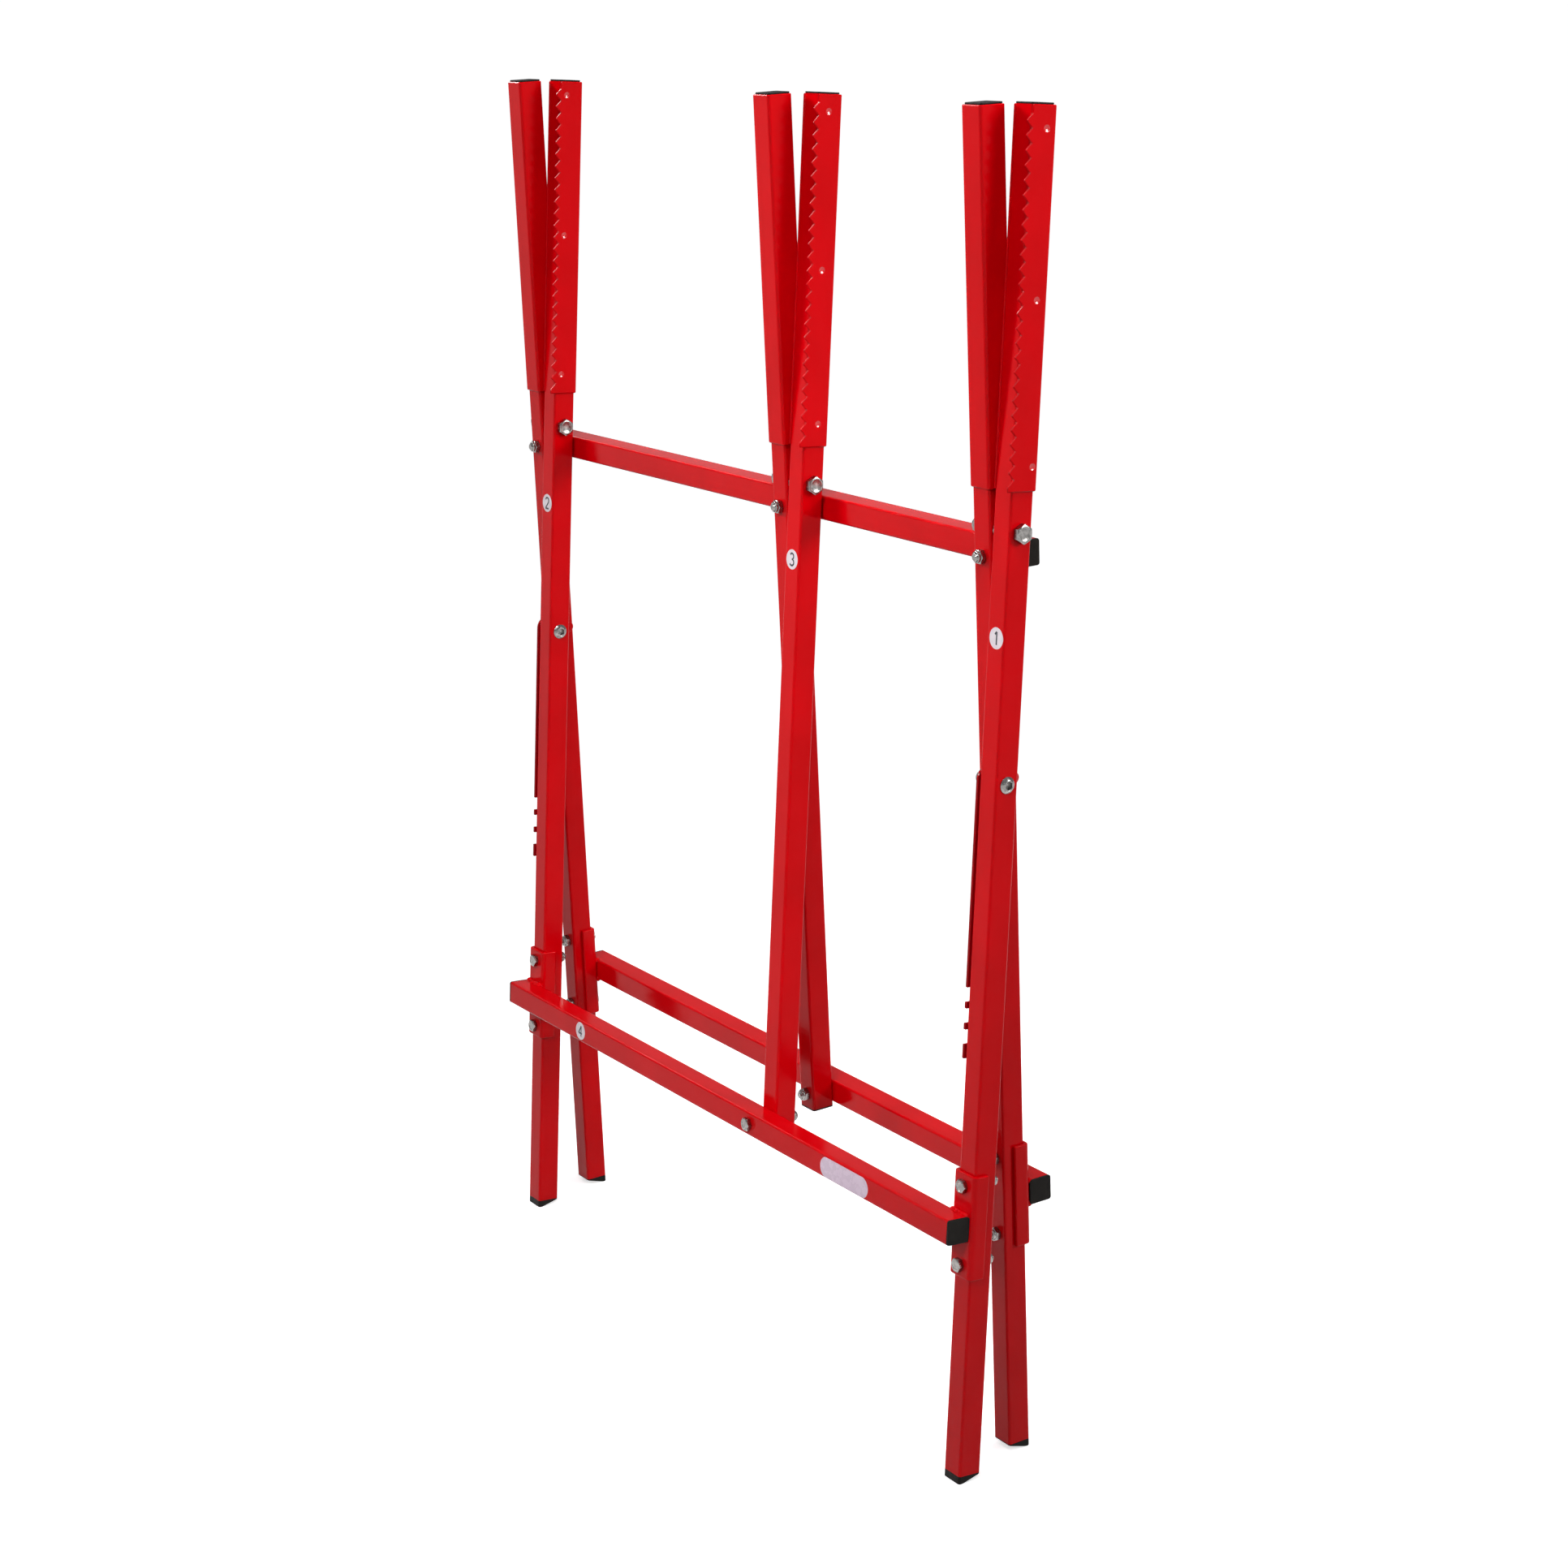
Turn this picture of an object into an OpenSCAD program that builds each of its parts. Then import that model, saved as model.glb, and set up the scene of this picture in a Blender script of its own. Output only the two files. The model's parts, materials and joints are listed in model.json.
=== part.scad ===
// Folding stand that holds a log in three toothed crosses while it is sawn.
// Each cross is a front leg and a rear leg that turn on one pivot bolt.
// A front leg has its foot in front and its top behind, a rear leg the other way round.
// Seen from above, the rear half is the front half turned by half a turn.

/* [Tubes] */
// Outside width of the square tube
tube_w = 20; // [18:0.5:24]
// Wall of the square tube
tube_wall = 1.2; // [1:0.1:1.4]
// Outside corner radius of the square tube
tube_corner = 2; // [1.6:0.1:3]

/* [Legs] */
// Length of a long leg below the pivot
leg_below = 730; // [680:1:800]
// Gap between the front leg and the rear leg of a cross
leg_gap = 3.3; // [3.2:0.1:5]
// Length of a middle leg below its lower rail's centre line
middle_leg_tail = 12; // [8:0.5:30]

/* [Crosses] */
// Distance between the left and the right cross
cross_span = 665; // [500:5:900]
// Distance from the right cross to the middle cross
middle_offset = 267; // [150:1:400]

/* [Jaws] */
// Length of a toothed jaw, measured down from the top of its leg
jaw_length = 270; // [200:1:360]
// Distance of a jaw's lower end above the pivot
jaw_rise = 30; // [20:0.5:60]
// Thickness of the jaw's sheet
jaw_sheet = 1.5; // [1:0.1:1.5]
// Distance from one tooth to the next
tooth_pitch = 10.2; // [8:0.1:14]
// Height of a tooth beyond the leg's inner face
tooth_h = 5.1; // [3:0.1:6]
// Distance from the jaw's top to the first tooth's tip
tooth_start = 11.2; // [8:0.1:15]
// Straight edge left below the last tooth
tooth_end = 14; // [12:0.5:30]

/* [Rails] */
// Distance of the front lower rail's centre line below the pivot
front_rail_drop = 527; // [450:1:560]
// Distance of the rear lower rail's centre line below the pivot
rear_rail_drop = 521; // [450:1:560]
// Reach of a lower rail past its near leg's centre line, with its cap
rail_near_reach = 10; // [8:0.5:30]
// Reach of a lower rail past its far leg's centre line, with its cap
rail_far_reach = 13; // [8:0.5:30]
// Distance of the upper rail's centre line below the pivot
upper_drop = 20; // [19:0.5:40]
// Reach of the upper rail past each end leg's centre line, with its cap
upper_reach = 16; // [10:0.5:30]

/* [Brackets] */
// Length of a bracket along its leg
bracket_length = 83; // [80:1:120]
// Thickness of the bracket's sheet
bracket_sheet = 3; // [2:0.1:4]
// Outside bend radius of the bracket
bracket_bend = 4; // [3.5:0.1:5]
// Depth of a bracket's side, measured from the leg's outer face
bracket_side = 11; // [8:0.5:16]
// Distance of a bracket's bolts from its ends
bracket_edge = 10; // [8:0.5:14]

/* [Spreaders] */
// Distance of the spreader's pivot screw, and of its hook pin, below the main pivot
spreader_drop = 185; // [150:1:240]
// Width of the flat spreader bar
bar_w = 22; // [18:0.5:23]
// Thickness of the spreader bar
bar_t = 2.5; // [2:0.1:2.6]
// Distance from the screw to the first notch
first_notch_distance = 163.8; // [140:0.1:170]
// Distance from one notch to the next
notch_pitch = 16.4; // [15:0.1:20]
// Width of a notch
notch_w = 11.3; // [10.5:0.1:13]
// Depth of a notch, with its round end
notch_depth = 11; // [8:0.1:14]
// Distance from the last notch to the bar's end
bar_tail = 17; // [12:0.5:25]
// Diameter of the hook pin
pin_d = 10; // [8:0.1:10.2]
// Length of the hook pin
pin_length = 10; // [8:0.5:16]

/* [Feet and caps] */
// Height of a foot on the leg's outer side
foot_h = 7.5; // [6:0.1:12]
// Height of a foot on the leg's inner side
foot_inner_h = 1; // [0.6:0.1:2]
// Depth of the small flat on a foot's tip
foot_tip_flat = 0.9; // [0.5:0.1:1.5]
// Thickness of a leg's top cap
leg_cap_t = 1.4; // [1:0.1:3]
// Thickness of a rail's end cap
rail_cap_t = 2; // [1:0.1:4]
// Length of the plug that holds a cap or a foot in its tube
plug_length = 12; // [8:0.5:20]

/* [Fasteners] */
// Thread diameter of the pivot bolts and the spreader screws
pivot_d = 8; // [7:0.1:8]
// Width across flats of the pivot bolts and their nuts
pivot_af = 13; // [12:0.1:13]
// Height of a pivot bolt's head
pivot_head_h = 5.3; // [4:0.1:6]
// Height of a pivot nut
pivot_nut_h = 8; // [6:0.1:9]
// Diameter of the spacer between the legs of a cross
spacer_d = 16; // [13:0.5:19]
// Diameter of a spreader screw's round head
screw_head_d = 14; // [12:0.1:16]
// Height of a spreader screw's round head
screw_head_h = 4.4; // [3:0.1:5]
// Width across flats of the socket in a spreader screw
screw_socket_af = 5; // [4:0.1:6]
// Thread diameter of the rail and bracket bolts
bolt_d = 6; // [5:0.1:6]
// Width across flats of the rail and bracket bolts and their nuts
bolt_af = 10; // [9:0.1:10]
// Height of a rail or bracket bolt's head
bolt_head_h = 4; // [3:0.1:5]
// Height of a rail or bracket nut
bolt_nut_h = 6; // [4:0.1:7]
// Length of thread that shows beyond a nut
thread_end = 1.5; // [0.5:0.1:4]

/* [Hidden] */
$fn = 64;
// Overrun of a cut past the surface that it opens
over = 1;
// Radial clearance of a bolt in its hole or its nut
bolt_play = 0.06;
// Clearance between faces that turn past each other
turn_play = 0.1;
// Clearance at the stop of the fold, where a spreader nut meets a rear leg
stop_play = 0.25;
// Clearance between a bracket's sides and its leg
bracket_play = 0.3;
// Clearance of a plug in its tube
plug_play = 0.1;
// Clearance between a plug's end and a bolt that crosses the tube
plug_end_play = 1;
// Clearance between a middle leg and the rail that it is bolted to
seat_play = 0.05;
// Inside bend radius of a jaw
jaw_bend = 1;
// Inside bend radius of a bracket
bracket_inner_bend = bracket_bend - bracket_sheet;
// Share of a hex head's corners that its chamfer takes off
chamfer_share = 0.93;
// Share of a nut's height that is hexagonal, with the round locking collar above it
nut_hex_share = 0.7;
// Share of a nut's width that its collar spans
collar_share = 0.88;
// Share of a round head's height that is its straight rim
rim_share = 0.2;
// Share of a round head's height that its socket takes
socket_share = 0.6;
// Share of a hook pin's radius that its end chamfer takes off
pin_chamfer_share = 0.15;
// Paint and metal colours
red = "#c8141b";
dark_red = "#a01015";
zinc = "#c9ccd0";
black = "#1e1c1a";

// Numbers of the crosses, and the turn of each half about the upright axis
right = 0;
middle = 1;
left = 2;
front = 0;
rear = 180;

// The fold stops where a spreader nut meets a rear leg, or a hook pin a spreader bar
stop_reach = max(tube_w / 2 + pivot_af / 2, bar_w / 2 + pin_d / 2, tube_w / 2 + pin_d / 2) + stop_play;
leg_lean = asin(stop_reach / spreader_drop) / 2;
leg_x = leg_gap / 2 + tube_w / 2;
leg_above = jaw_length + jaw_rise;
cross_x = [cross_span / 2, cross_span / 2 - middle_offset, -cross_span / 2];
tooth_count = 1 + floor((jaw_length - tooth_start - tooth_end) / tooth_pitch);
notch_count = 3;
bar_length = first_notch_distance + (notch_count - 1) * notch_pitch + bar_tail;
pivot_hole_d = pivot_d + 2 * bolt_play;
bolt_hole_d = bolt_d + 2 * bolt_play;
bore_w = tube_w - 2 * tube_wall;
bore_corner = tube_corner - tube_wall;
// Plugs near a bolt end short of it
middle_plug_length = min(plug_length, middle_leg_tail - bolt_hole_d / 2 - plug_end_play);
upper_plug_length = min(plug_length, upper_reach - rail_cap_t - bolt_hole_d / 2 - plug_end_play);
rail_y = -tube_w - bracket_sheet;
rail_length = cross_span + rail_near_reach + rail_far_reach - 2 * rail_cap_t;
rail_x = leg_x + (rail_near_reach - rail_far_reach) / 2;
upper_length = cross_span + 2 * upper_reach - 2 * rail_cap_t;
bracket_bolt_z = bracket_length / 2 - bracket_edge;

// The origin lies on the floor, under the middle of the whole stand
pivot_z = (leg_below + foot_h) * cos(leg_lean) - tube_w / 2 * sin(leg_lean) - foot_tip_flat;
pivot_nut_reach = turn_play + pivot_nut_h + thread_end;
middle_x = (pivot_nut_reach - pivot_head_h) / 2;
middle_y = (front_rail_drop - rear_rail_drop) * sin(leg_lean) / 2;

function rail_drop(side) = side == front ? front_rail_drop : rear_rail_drop;
// A middle leg leans out by a bracket's thickness more, because it bears on the rail itself
function extra_lean(side) = asin((bracket_sheet - seat_play) / (rail_drop(side) + tube_w / 2));
function lean(side, cross) = leg_lean + (cross == middle ? extra_lean(side) : 0);
function side_x(side, cross) = (side == front ? cross_x[cross] : -cross_x[cross]) + leg_x;
// The upper rail stands off the end legs as far as the middle leg's lean needs
upper_y = -tube_w - (upper_drop + tube_w / 2) * tan(extra_lean(rear)) - seat_play;
// Where a middle leg's inner face lies, seen square to its rail
function middle_seat_y(side) =
    tube_w / 2 / cos(extra_lean(side)) - rail_drop(side) * tan(extra_lean(side)) + 2 * seat_play;

// Placing: a half's own frame has its pivot axis at the origin and its legs along Z,
// with the leg's outer face towards -Y below the pivot

module half(side, tilt = leg_lean) {
    translate([middle_x, middle_y, pivot_z])
        rotate([0, 0, side])
            rotate([-tilt, 0, 0])
                children();
}

module on_leg(side, cross) {
    half(side, lean(side, cross))
        translate([side_x(side, cross), 0, 0])
            children();
}

module along_x() {
    rotate([0, 90, 0])
        children();
}

// Turns an upright shape so that its top points to the front
module to_front() {
    rotate([90, 0, 0])
        children();
}

// Shared shapes

module rounded_square(w, corner) {
    square([w, w - 2 * corner], center = true);
    square([w - 2 * corner, w], center = true);
    for (x = [-1, 1], y = [-1, 1])
        translate([x * (w / 2 - corner), y * (w / 2 - corner)])
            circle(corner);
}

module square_tube(l) {
    linear_extrude(l)
        difference() {
            rounded_square(tube_w, tube_corner);
            rounded_square(bore_w, bore_corner);
        }
}

// Plug with a flat head whose underside is at zero
module square_cap(head_t, l = plug_length) {
    linear_extrude(head_t)
        rounded_square(tube_w, tube_corner);
    square_plug(l);
}

module square_plug(l = plug_length) {
    translate([0, 0, -l])
        linear_extrude(l)
            rounded_square(bore_w - 2 * plug_play, bore_corner);
}

// Channel outline: a web towards +Y and two sides down to the given depth
module channel_outline(inner_w, sheet, inner_bend, side_depth) {
    bend = inner_bend + sheet;
    outer_w = inner_w + 2 * sheet;
    difference() {
        union() {
            translate([-outer_w / 2, -side_depth])
                square([outer_w, side_depth + sheet - bend]);
            translate([bend - outer_w / 2, sheet - bend])
                square([outer_w - 2 * bend, bend]);
            for (x = [-1, 1])
                translate([x * (outer_w / 2 - bend), sheet - bend])
                    circle(bend);
        }
        translate([-inner_w / 2, -side_depth - over])
            square([inner_w, side_depth + over - inner_bend]);
        translate([inner_bend - inner_w / 2, -inner_bend - over])
            square([inner_w - 2 * inner_bend, inner_bend + over]);
        for (x = [-1, 1])
            translate([x * (inner_w / 2 - inner_bend), -inner_bend])
                circle(inner_bend);
    }
}

module hex_prism(af, h) {
    cylinder(d = af / cos(30), h = h, $fn = 6);
}

// Cone that takes the corners off a hex head at its top
module hex_chamfer(af, h) {
    corner_r = af / cos(30) / 2;
    top_r = corner_r * chamfer_share;
    cylinder(r1 = top_r + h, r2 = top_r, h = h);
}

// Head above zero, thread below it
module hex_bolt(d, af, head_h, l) {
    intersection() {
        hex_prism(af, head_h);
        hex_chamfer(af, head_h);
    }
    translate([0, 0, -l])
        cylinder(d = d, h = l);
}

// Locking nut on its seat at zero, with a round collar on top
module lock_nut(d, af, h) {
    hex_h = h * nut_hex_share;
    difference() {
        union() {
            intersection() {
                hex_prism(af, hex_h);
                hex_chamfer(af, hex_h);
            }
            cylinder(d = af * collar_share, h = h);
        }
        translate([0, 0, -over])
            cylinder(d = d + 2 * bolt_play, h = h + 2 * over);
    }
}

module drill_x(d, z) {
    translate([-tube_w, 0, z])
        along_x()
            cylinder(d = d, h = 2 * tube_w);
}

module drill_y(d, z) {
    translate([0, tube_w, z])
        to_front()
            cylinder(d = d, h = 2 * tube_w);
}

// Legs, with their jaws, caps and feet

module leg(side, cross) {
    is_middle = cross == middle;
    below = is_middle ? rail_drop(side) + middle_leg_tail : leg_below;
    color(red)
        difference() {
            on_leg(side, cross)
                difference() {
                    translate([0, 0, -below])
                        square_tube(below + leg_above);
                    drill_x(pivot_hole_d, 0);
                    if (side == front && !is_middle)
                        drill_x(pivot_hole_d, -spreader_drop);
                    if (!is_middle)
                        for (z = [-1, 1])
                            drill_y(bolt_hole_d, z * bracket_bolt_z - rail_drop(side));
                }
            half(side)
                translate([side_x(side, cross), 0, 0]) {
                    if (side == rear)
                        drill_y(bolt_hole_d, -upper_drop);
                    if (is_middle)
                        drill_y(bolt_hole_d, -rail_drop(side));
                }
        }
}

// Outline of the toothed edge along the leg, from the top down
module tooth_outline() {
    valley = -tube_w / 2;
    tip = valley - tooth_h;
    first = leg_above - tooth_start;
    foot = first - tooth_count * tooth_pitch;
    polygon(concat(
        [[valley + jaw_sheet, leg_above], [valley, leg_above]],
        [for (i = [0 : tooth_count - 1], p = [
            [valley, first - i * tooth_pitch + tooth_pitch / 2],
            [tip, first - i * tooth_pitch]
        ]) p],
        [[valley, foot + tooth_pitch / 2], [tip, foot], [tip, leg_above - jaw_length]],
        [[valley + jaw_sheet, leg_above - jaw_length]]
    ));
}

module jaw(side, cross) {
    color(red)
        on_leg(side, cross) {
            translate([0, tube_w / 2, leg_above - jaw_length])
                linear_extrude(jaw_length)
                    channel_outline(tube_w, jaw_sheet, jaw_bend, tube_w);
            translate([tube_w / 2 + jaw_sheet, 0, 0])
                rotate([90, 0, -90])
                    mirror([1, 0, 0])
                        linear_extrude(jaw_sheet)
                            tooth_outline();
        }
}

module leg_cap(side, cross) {
    color(black)
        on_leg(side, cross)
            translate([0, 0, leg_above])
                square_cap(leg_cap_t);
}

// Plug with a wedge below it, thick on the leg's outer side, and a small flat on its tip
module foot(side, cross) {
    color(black)
        difference() {
            on_leg(side, cross)
                translate([0, 0, -leg_below]) {
                    intersection() {
                        translate([0, 0, -foot_h])
                            linear_extrude(foot_h)
                                rounded_square(tube_w, tube_corner);
                        translate([-tube_w, 0, 0])
                            rotate([90, 0, 90])
                                linear_extrude(2 * tube_w)
                                    polygon([
                                        [-tube_w / 2, 0],
                                        [tube_w / 2, 0],
                                        [tube_w / 2, -foot_inner_h],
                                        [-tube_w / 2, -foot_h]
                                    ]);
                    }
                    mirror([0, 0, 1])
                        square_plug();
                }
            half(side, 0)
                translate([side_x(side, cross), 0, -pivot_z - leg_below])
                    linear_extrude(leg_below)
                        square(leg_below, center = true);
        }
}

// Cap on the lower end of a middle leg
module middle_plug(side) {
    color(black)
        on_leg(side, middle)
            translate([0, 0, -rail_drop(side) - middle_leg_tail])
                mirror([0, 0, 1])
                    square_cap(leg_cap_t, middle_plug_length);
}

// Rails

module lower_rail(side) {
    color(red)
        half(side)
            difference() {
                translate([rail_x - rail_length / 2, rail_y, -rail_drop(side)])
                    along_x()
                        square_tube(rail_length);
                translate([side_x(side, middle), rail_y, 0])
                    drill_y(bolt_hole_d, -rail_drop(side));
            }
}

module lower_rail_cap(side, cross) {
    way = (side == front) == (cross == right) ? 1 : -1;
    color(black)
        half(side)
            translate([rail_x + way * rail_length / 2, rail_y, -rail_drop(side)])
                rotate([0, way * 90, 0])
                    square_cap(rail_cap_t);
}

// The upper rail lies against the rear legs' inner faces
module upper_rail() {
    color(red)
        half(rear)
            difference() {
                translate([leg_x - upper_length / 2, upper_y, -upper_drop])
                    along_x()
                        square_tube(upper_length);
                for (cross = [right, middle, left])
                    translate([side_x(rear, cross), upper_y, 0])
                        drill_y(bolt_hole_d, -upper_drop);
            }
}

module upper_rail_cap(cross) {
    way = cross == right ? -1 : 1;
    color(black)
        half(rear)
            translate([leg_x + way * upper_length / 2, upper_y, -upper_drop])
                rotate([0, way * 90, 0])
                    square_cap(rail_cap_t, upper_plug_length);
}

// A bracket is welded to its rail and bolted round its leg
module bracket(side, cross) {
    color(red)
        on_leg(side, cross)
            difference() {
                translate([0, -tube_w / 2, -rail_drop(side) - bracket_length / 2])
                    linear_extrude(bracket_length)
                        mirror([0, 1, 0])
                            channel_outline(tube_w + 2 * bracket_play, bracket_sheet,
                                bracket_inner_bend, bracket_side);
                for (z = [-1, 1])
                    drill_y(bolt_hole_d, z * bracket_bolt_z - rail_drop(side));
            }
}

// Fasteners

module at_bracket_bolts(side) {
    for (cross = [right, left], z = [-1, 1])
        on_leg(side, cross)
            translate([0, 0, z * bracket_bolt_z - rail_drop(side)])
                children();
}

module bracket_bolts(side) {
    color(zinc)
        at_bracket_bolts(side)
            translate([0, -tube_w / 2 - bracket_sheet, 0])
                to_front()
                    hex_bolt(bolt_d, bolt_af, bolt_head_h, bracket_sheet + tube_w + bolt_nut_h + thread_end);
}

module bracket_nuts(side) {
    color(zinc)
        at_bracket_bolts(side)
            translate([0, tube_w / 2, 0])
                mirror([0, 1, 0])
                    to_front()
                        lock_nut(bolt_d, bolt_af, bolt_nut_h);
}

module middle_bolt(side) {
    grip = middle_seat_y(side) - rail_y + tube_w / 2;
    color(zinc)
        half(side)
            translate([side_x(side, middle), rail_y - tube_w / 2, -rail_drop(side)])
                to_front()
                    hex_bolt(bolt_d, bolt_af, bolt_head_h, grip + bolt_nut_h + thread_end);
}

module middle_nut(side) {
    color(zinc)
        half(side)
            translate([side_x(side, middle), middle_seat_y(side), -rail_drop(side)])
                mirror([0, 1, 0])
                    to_front()
                        lock_nut(bolt_d, bolt_af, bolt_nut_h);
}

module at_upper_bolts() {
    half(rear)
        for (cross = [right, middle, left])
            translate([side_x(rear, cross), 0, -upper_drop])
                children();
}

module upper_rail_bolts() {
    grip = tube_w + seat_play - upper_y;
    color(zinc)
        at_upper_bolts()
            translate([0, upper_y - tube_w / 2, 0])
                to_front()
                    hex_bolt(bolt_d, bolt_af, bolt_head_h, grip + bolt_nut_h + thread_end);
}

module upper_rail_nuts() {
    color(zinc)
        at_upper_bolts()
            translate([0, tube_w / 2 + seat_play, 0])
                mirror([0, 1, 0])
                    to_front()
                        lock_nut(bolt_d, bolt_af, bolt_nut_h);
}

module at_pivots() {
    for (cross = [right, middle, left])
        on_leg(front, cross)
            children();
}

module pivot_bolts() {
    color(zinc)
        at_pivots()
            translate([tube_w / 2, 0, 0])
                along_x()
                    hex_bolt(pivot_d, pivot_af, pivot_head_h, 2 * tube_w + leg_gap + pivot_nut_reach);
}

module pivot_nuts() {
    color(zinc)
        at_pivots()
            translate([-tube_w * 3 / 2 - leg_gap - turn_play, 0, 0])
                rotate([0, -90, 0])
                    lock_nut(pivot_d, pivot_af, pivot_nut_h);
}

module pivot_spacers() {
    color(zinc)
        at_pivots()
            translate([-tube_w / 2, 0, 0])
                rotate([0, -90, 0])
                    difference() {
                        cylinder(d = spacer_d, h = leg_gap - turn_play);
                        translate([0, 0, -over])
                            cylinder(d = pivot_hole_d, h = leg_gap + 2 * over);
                    }
}

// Spreaders: each bar turns on a screw through the front leg and hooks over a pin on the rear leg

module on_spreader(cross) {
    on_leg(front, cross)
        translate([0, 0, -spreader_drop])
            children();
}

// Bar hanging down along the front leg, with its notches towards the front
module bar_outline() {
    difference() {
        union() {
            circle(d = bar_w);
            translate([-bar_w / 2, -bar_length])
                square([bar_w, bar_length]);
        }
        circle(d = pivot_hole_d);
        for (i = [0 : notch_count - 1])
            translate([0, -first_notch_distance - i * notch_pitch]) {
                translate([notch_depth - notch_w / 2 - bar_w / 2, 0])
                    circle(d = notch_w);
                translate([-bar_w / 2 - over, -notch_w / 2])
                    square([notch_depth - notch_w / 2 + over, notch_w]);
            }
    }
}

module spreader_bar(cross) {
    color(dark_red)
        on_spreader(cross)
            translate([-tube_w / 2 - leg_gap / 2 - bar_t / 2, 0, 0])
                rotate([90, 0, 90])
                    linear_extrude(bar_t)
                        bar_outline();
}

module spreader_screw(cross) {
    shank_length = tube_w + (leg_gap + bar_t) / 2 + turn_play + pivot_nut_h + thread_end;
    rim_h = screw_head_h * rim_share;
    dome_h = screw_head_h - rim_h;
    dome_r = (screw_head_d * screw_head_d / 4 + dome_h * dome_h) / (2 * dome_h);
    socket_h = screw_head_h * socket_share;
    color(zinc)
        on_spreader(cross)
            translate([tube_w / 2, 0, 0])
                along_x() {
                    difference() {
                        union() {
                            cylinder(d = screw_head_d, h = rim_h);
                            intersection() {
                                translate([0, 0, screw_head_h - dome_r])
                                    sphere(dome_r);
                                translate([0, 0, rim_h])
                                    cylinder(d = screw_head_d, h = screw_head_h);
                            }
                        }
                        translate([0, 0, screw_head_h - socket_h])
                            hex_prism(screw_socket_af, socket_h + over);
                    }
                    translate([0, 0, -shank_length])
                        cylinder(d = pivot_d, h = shank_length);
                }
}

// The nut stands in the rear leg's path, with a flat along that leg's face, and stops the fold
module spreader_nut(cross) {
    color(zinc)
        on_spreader(cross)
            translate([-tube_w / 2 - (leg_gap + bar_t) / 2 - turn_play, 0, 0])
                rotate([2 * leg_lean, 0, 0])
                    rotate([0, -90, 0])
                        lock_nut(pivot_d, pivot_af, pivot_nut_h);
}

// Pin welded to the rear leg's face beside the spreader bar
module hook_pin(cross) {
    chamfer = pin_d / 2 * pin_chamfer_share;
    color(red)
        on_leg(rear, cross)
            translate([-tube_w / 2, 0, -spreader_drop])
                rotate([0, -90, 0]) {
                    cylinder(d = pin_d, h = pin_length - chamfer);
                    translate([0, 0, pin_length - chamfer])
                        cylinder(d1 = pin_d, d2 = pin_d - 2 * chamfer, h = chamfer);
                }
}

leg(front, right);  // front_leg_right
leg(front, middle);  // front_leg_middle
leg(front, left);  // front_leg_left
leg(rear, right);  // rear_leg_right
leg(rear, middle);  // rear_leg_middle
leg(rear, left);  // rear_leg_left
jaw(front, right);  // front_jaw_right
jaw(front, middle);  // front_jaw_middle
jaw(front, left);  // front_jaw_left
jaw(rear, right);  // rear_jaw_right
jaw(rear, middle);  // rear_jaw_middle
jaw(rear, left);  // rear_jaw_left
leg_cap(front, right);  // front_leg_cap_right
leg_cap(front, middle);  // front_leg_cap_middle
leg_cap(front, left);  // front_leg_cap_left
leg_cap(rear, right);  // rear_leg_cap_right
leg_cap(rear, middle);  // rear_leg_cap_middle
leg_cap(rear, left);  // rear_leg_cap_left
foot(front, right);  // front_foot_right
foot(front, left);  // front_foot_left
foot(rear, right);  // rear_foot_right
foot(rear, left);  // rear_foot_left
middle_plug(front);  // front_middle_plug
middle_plug(rear);  // rear_middle_plug
lower_rail(front);  // front_rail
lower_rail(rear);  // rear_rail
upper_rail();
lower_rail_cap(front, right);  // front_rail_cap_right
lower_rail_cap(front, left);  // front_rail_cap_left
lower_rail_cap(rear, right);  // rear_rail_cap_right
lower_rail_cap(rear, left);  // rear_rail_cap_left
upper_rail_cap(right);  // upper_rail_cap_right
upper_rail_cap(left);  // upper_rail_cap_left
bracket(front, right);  // front_bracket_right
bracket(front, left);  // front_bracket_left
bracket(rear, right);  // rear_bracket_right
bracket(rear, left);  // rear_bracket_left
bracket_bolts(front);  // front_bracket_bolts
bracket_nuts(front);  // front_bracket_nuts
bracket_bolts(rear);  // rear_bracket_bolts
bracket_nuts(rear);  // rear_bracket_nuts
middle_bolt(front);  // front_middle_bolt
middle_nut(front);  // front_middle_nut
middle_bolt(rear);  // rear_middle_bolt
middle_nut(rear);  // rear_middle_nut
upper_rail_bolts();
upper_rail_nuts();
pivot_bolts();
pivot_nuts();
pivot_spacers();
spreader_bar(right);  // spreader_bar_right
spreader_bar(left);  // spreader_bar_left
spreader_screw(right);  // spreader_screw_right
spreader_screw(left);  // spreader_screw_left
spreader_nut(right);  // spreader_nut_right
spreader_nut(left);  // spreader_nut_left
hook_pin(right);  // hook_pin_right
hook_pin(left);  // hook_pin_left
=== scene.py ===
# %% [markdown]
# # A folding log saw stand
# The stand is six painted steel tubes, crossed in three pairs on one hinge line, with toothed
# jaws that grip a log.
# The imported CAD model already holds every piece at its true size, in metres, so this lesson only
# dresses it.
# It sets up the photograph's view first, then the finishes, and then the details that a plain
# solid lacks.

# %% Load the frame
import json
import math

import bmesh
import bpy
from mathutils import Matrix, Vector


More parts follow.
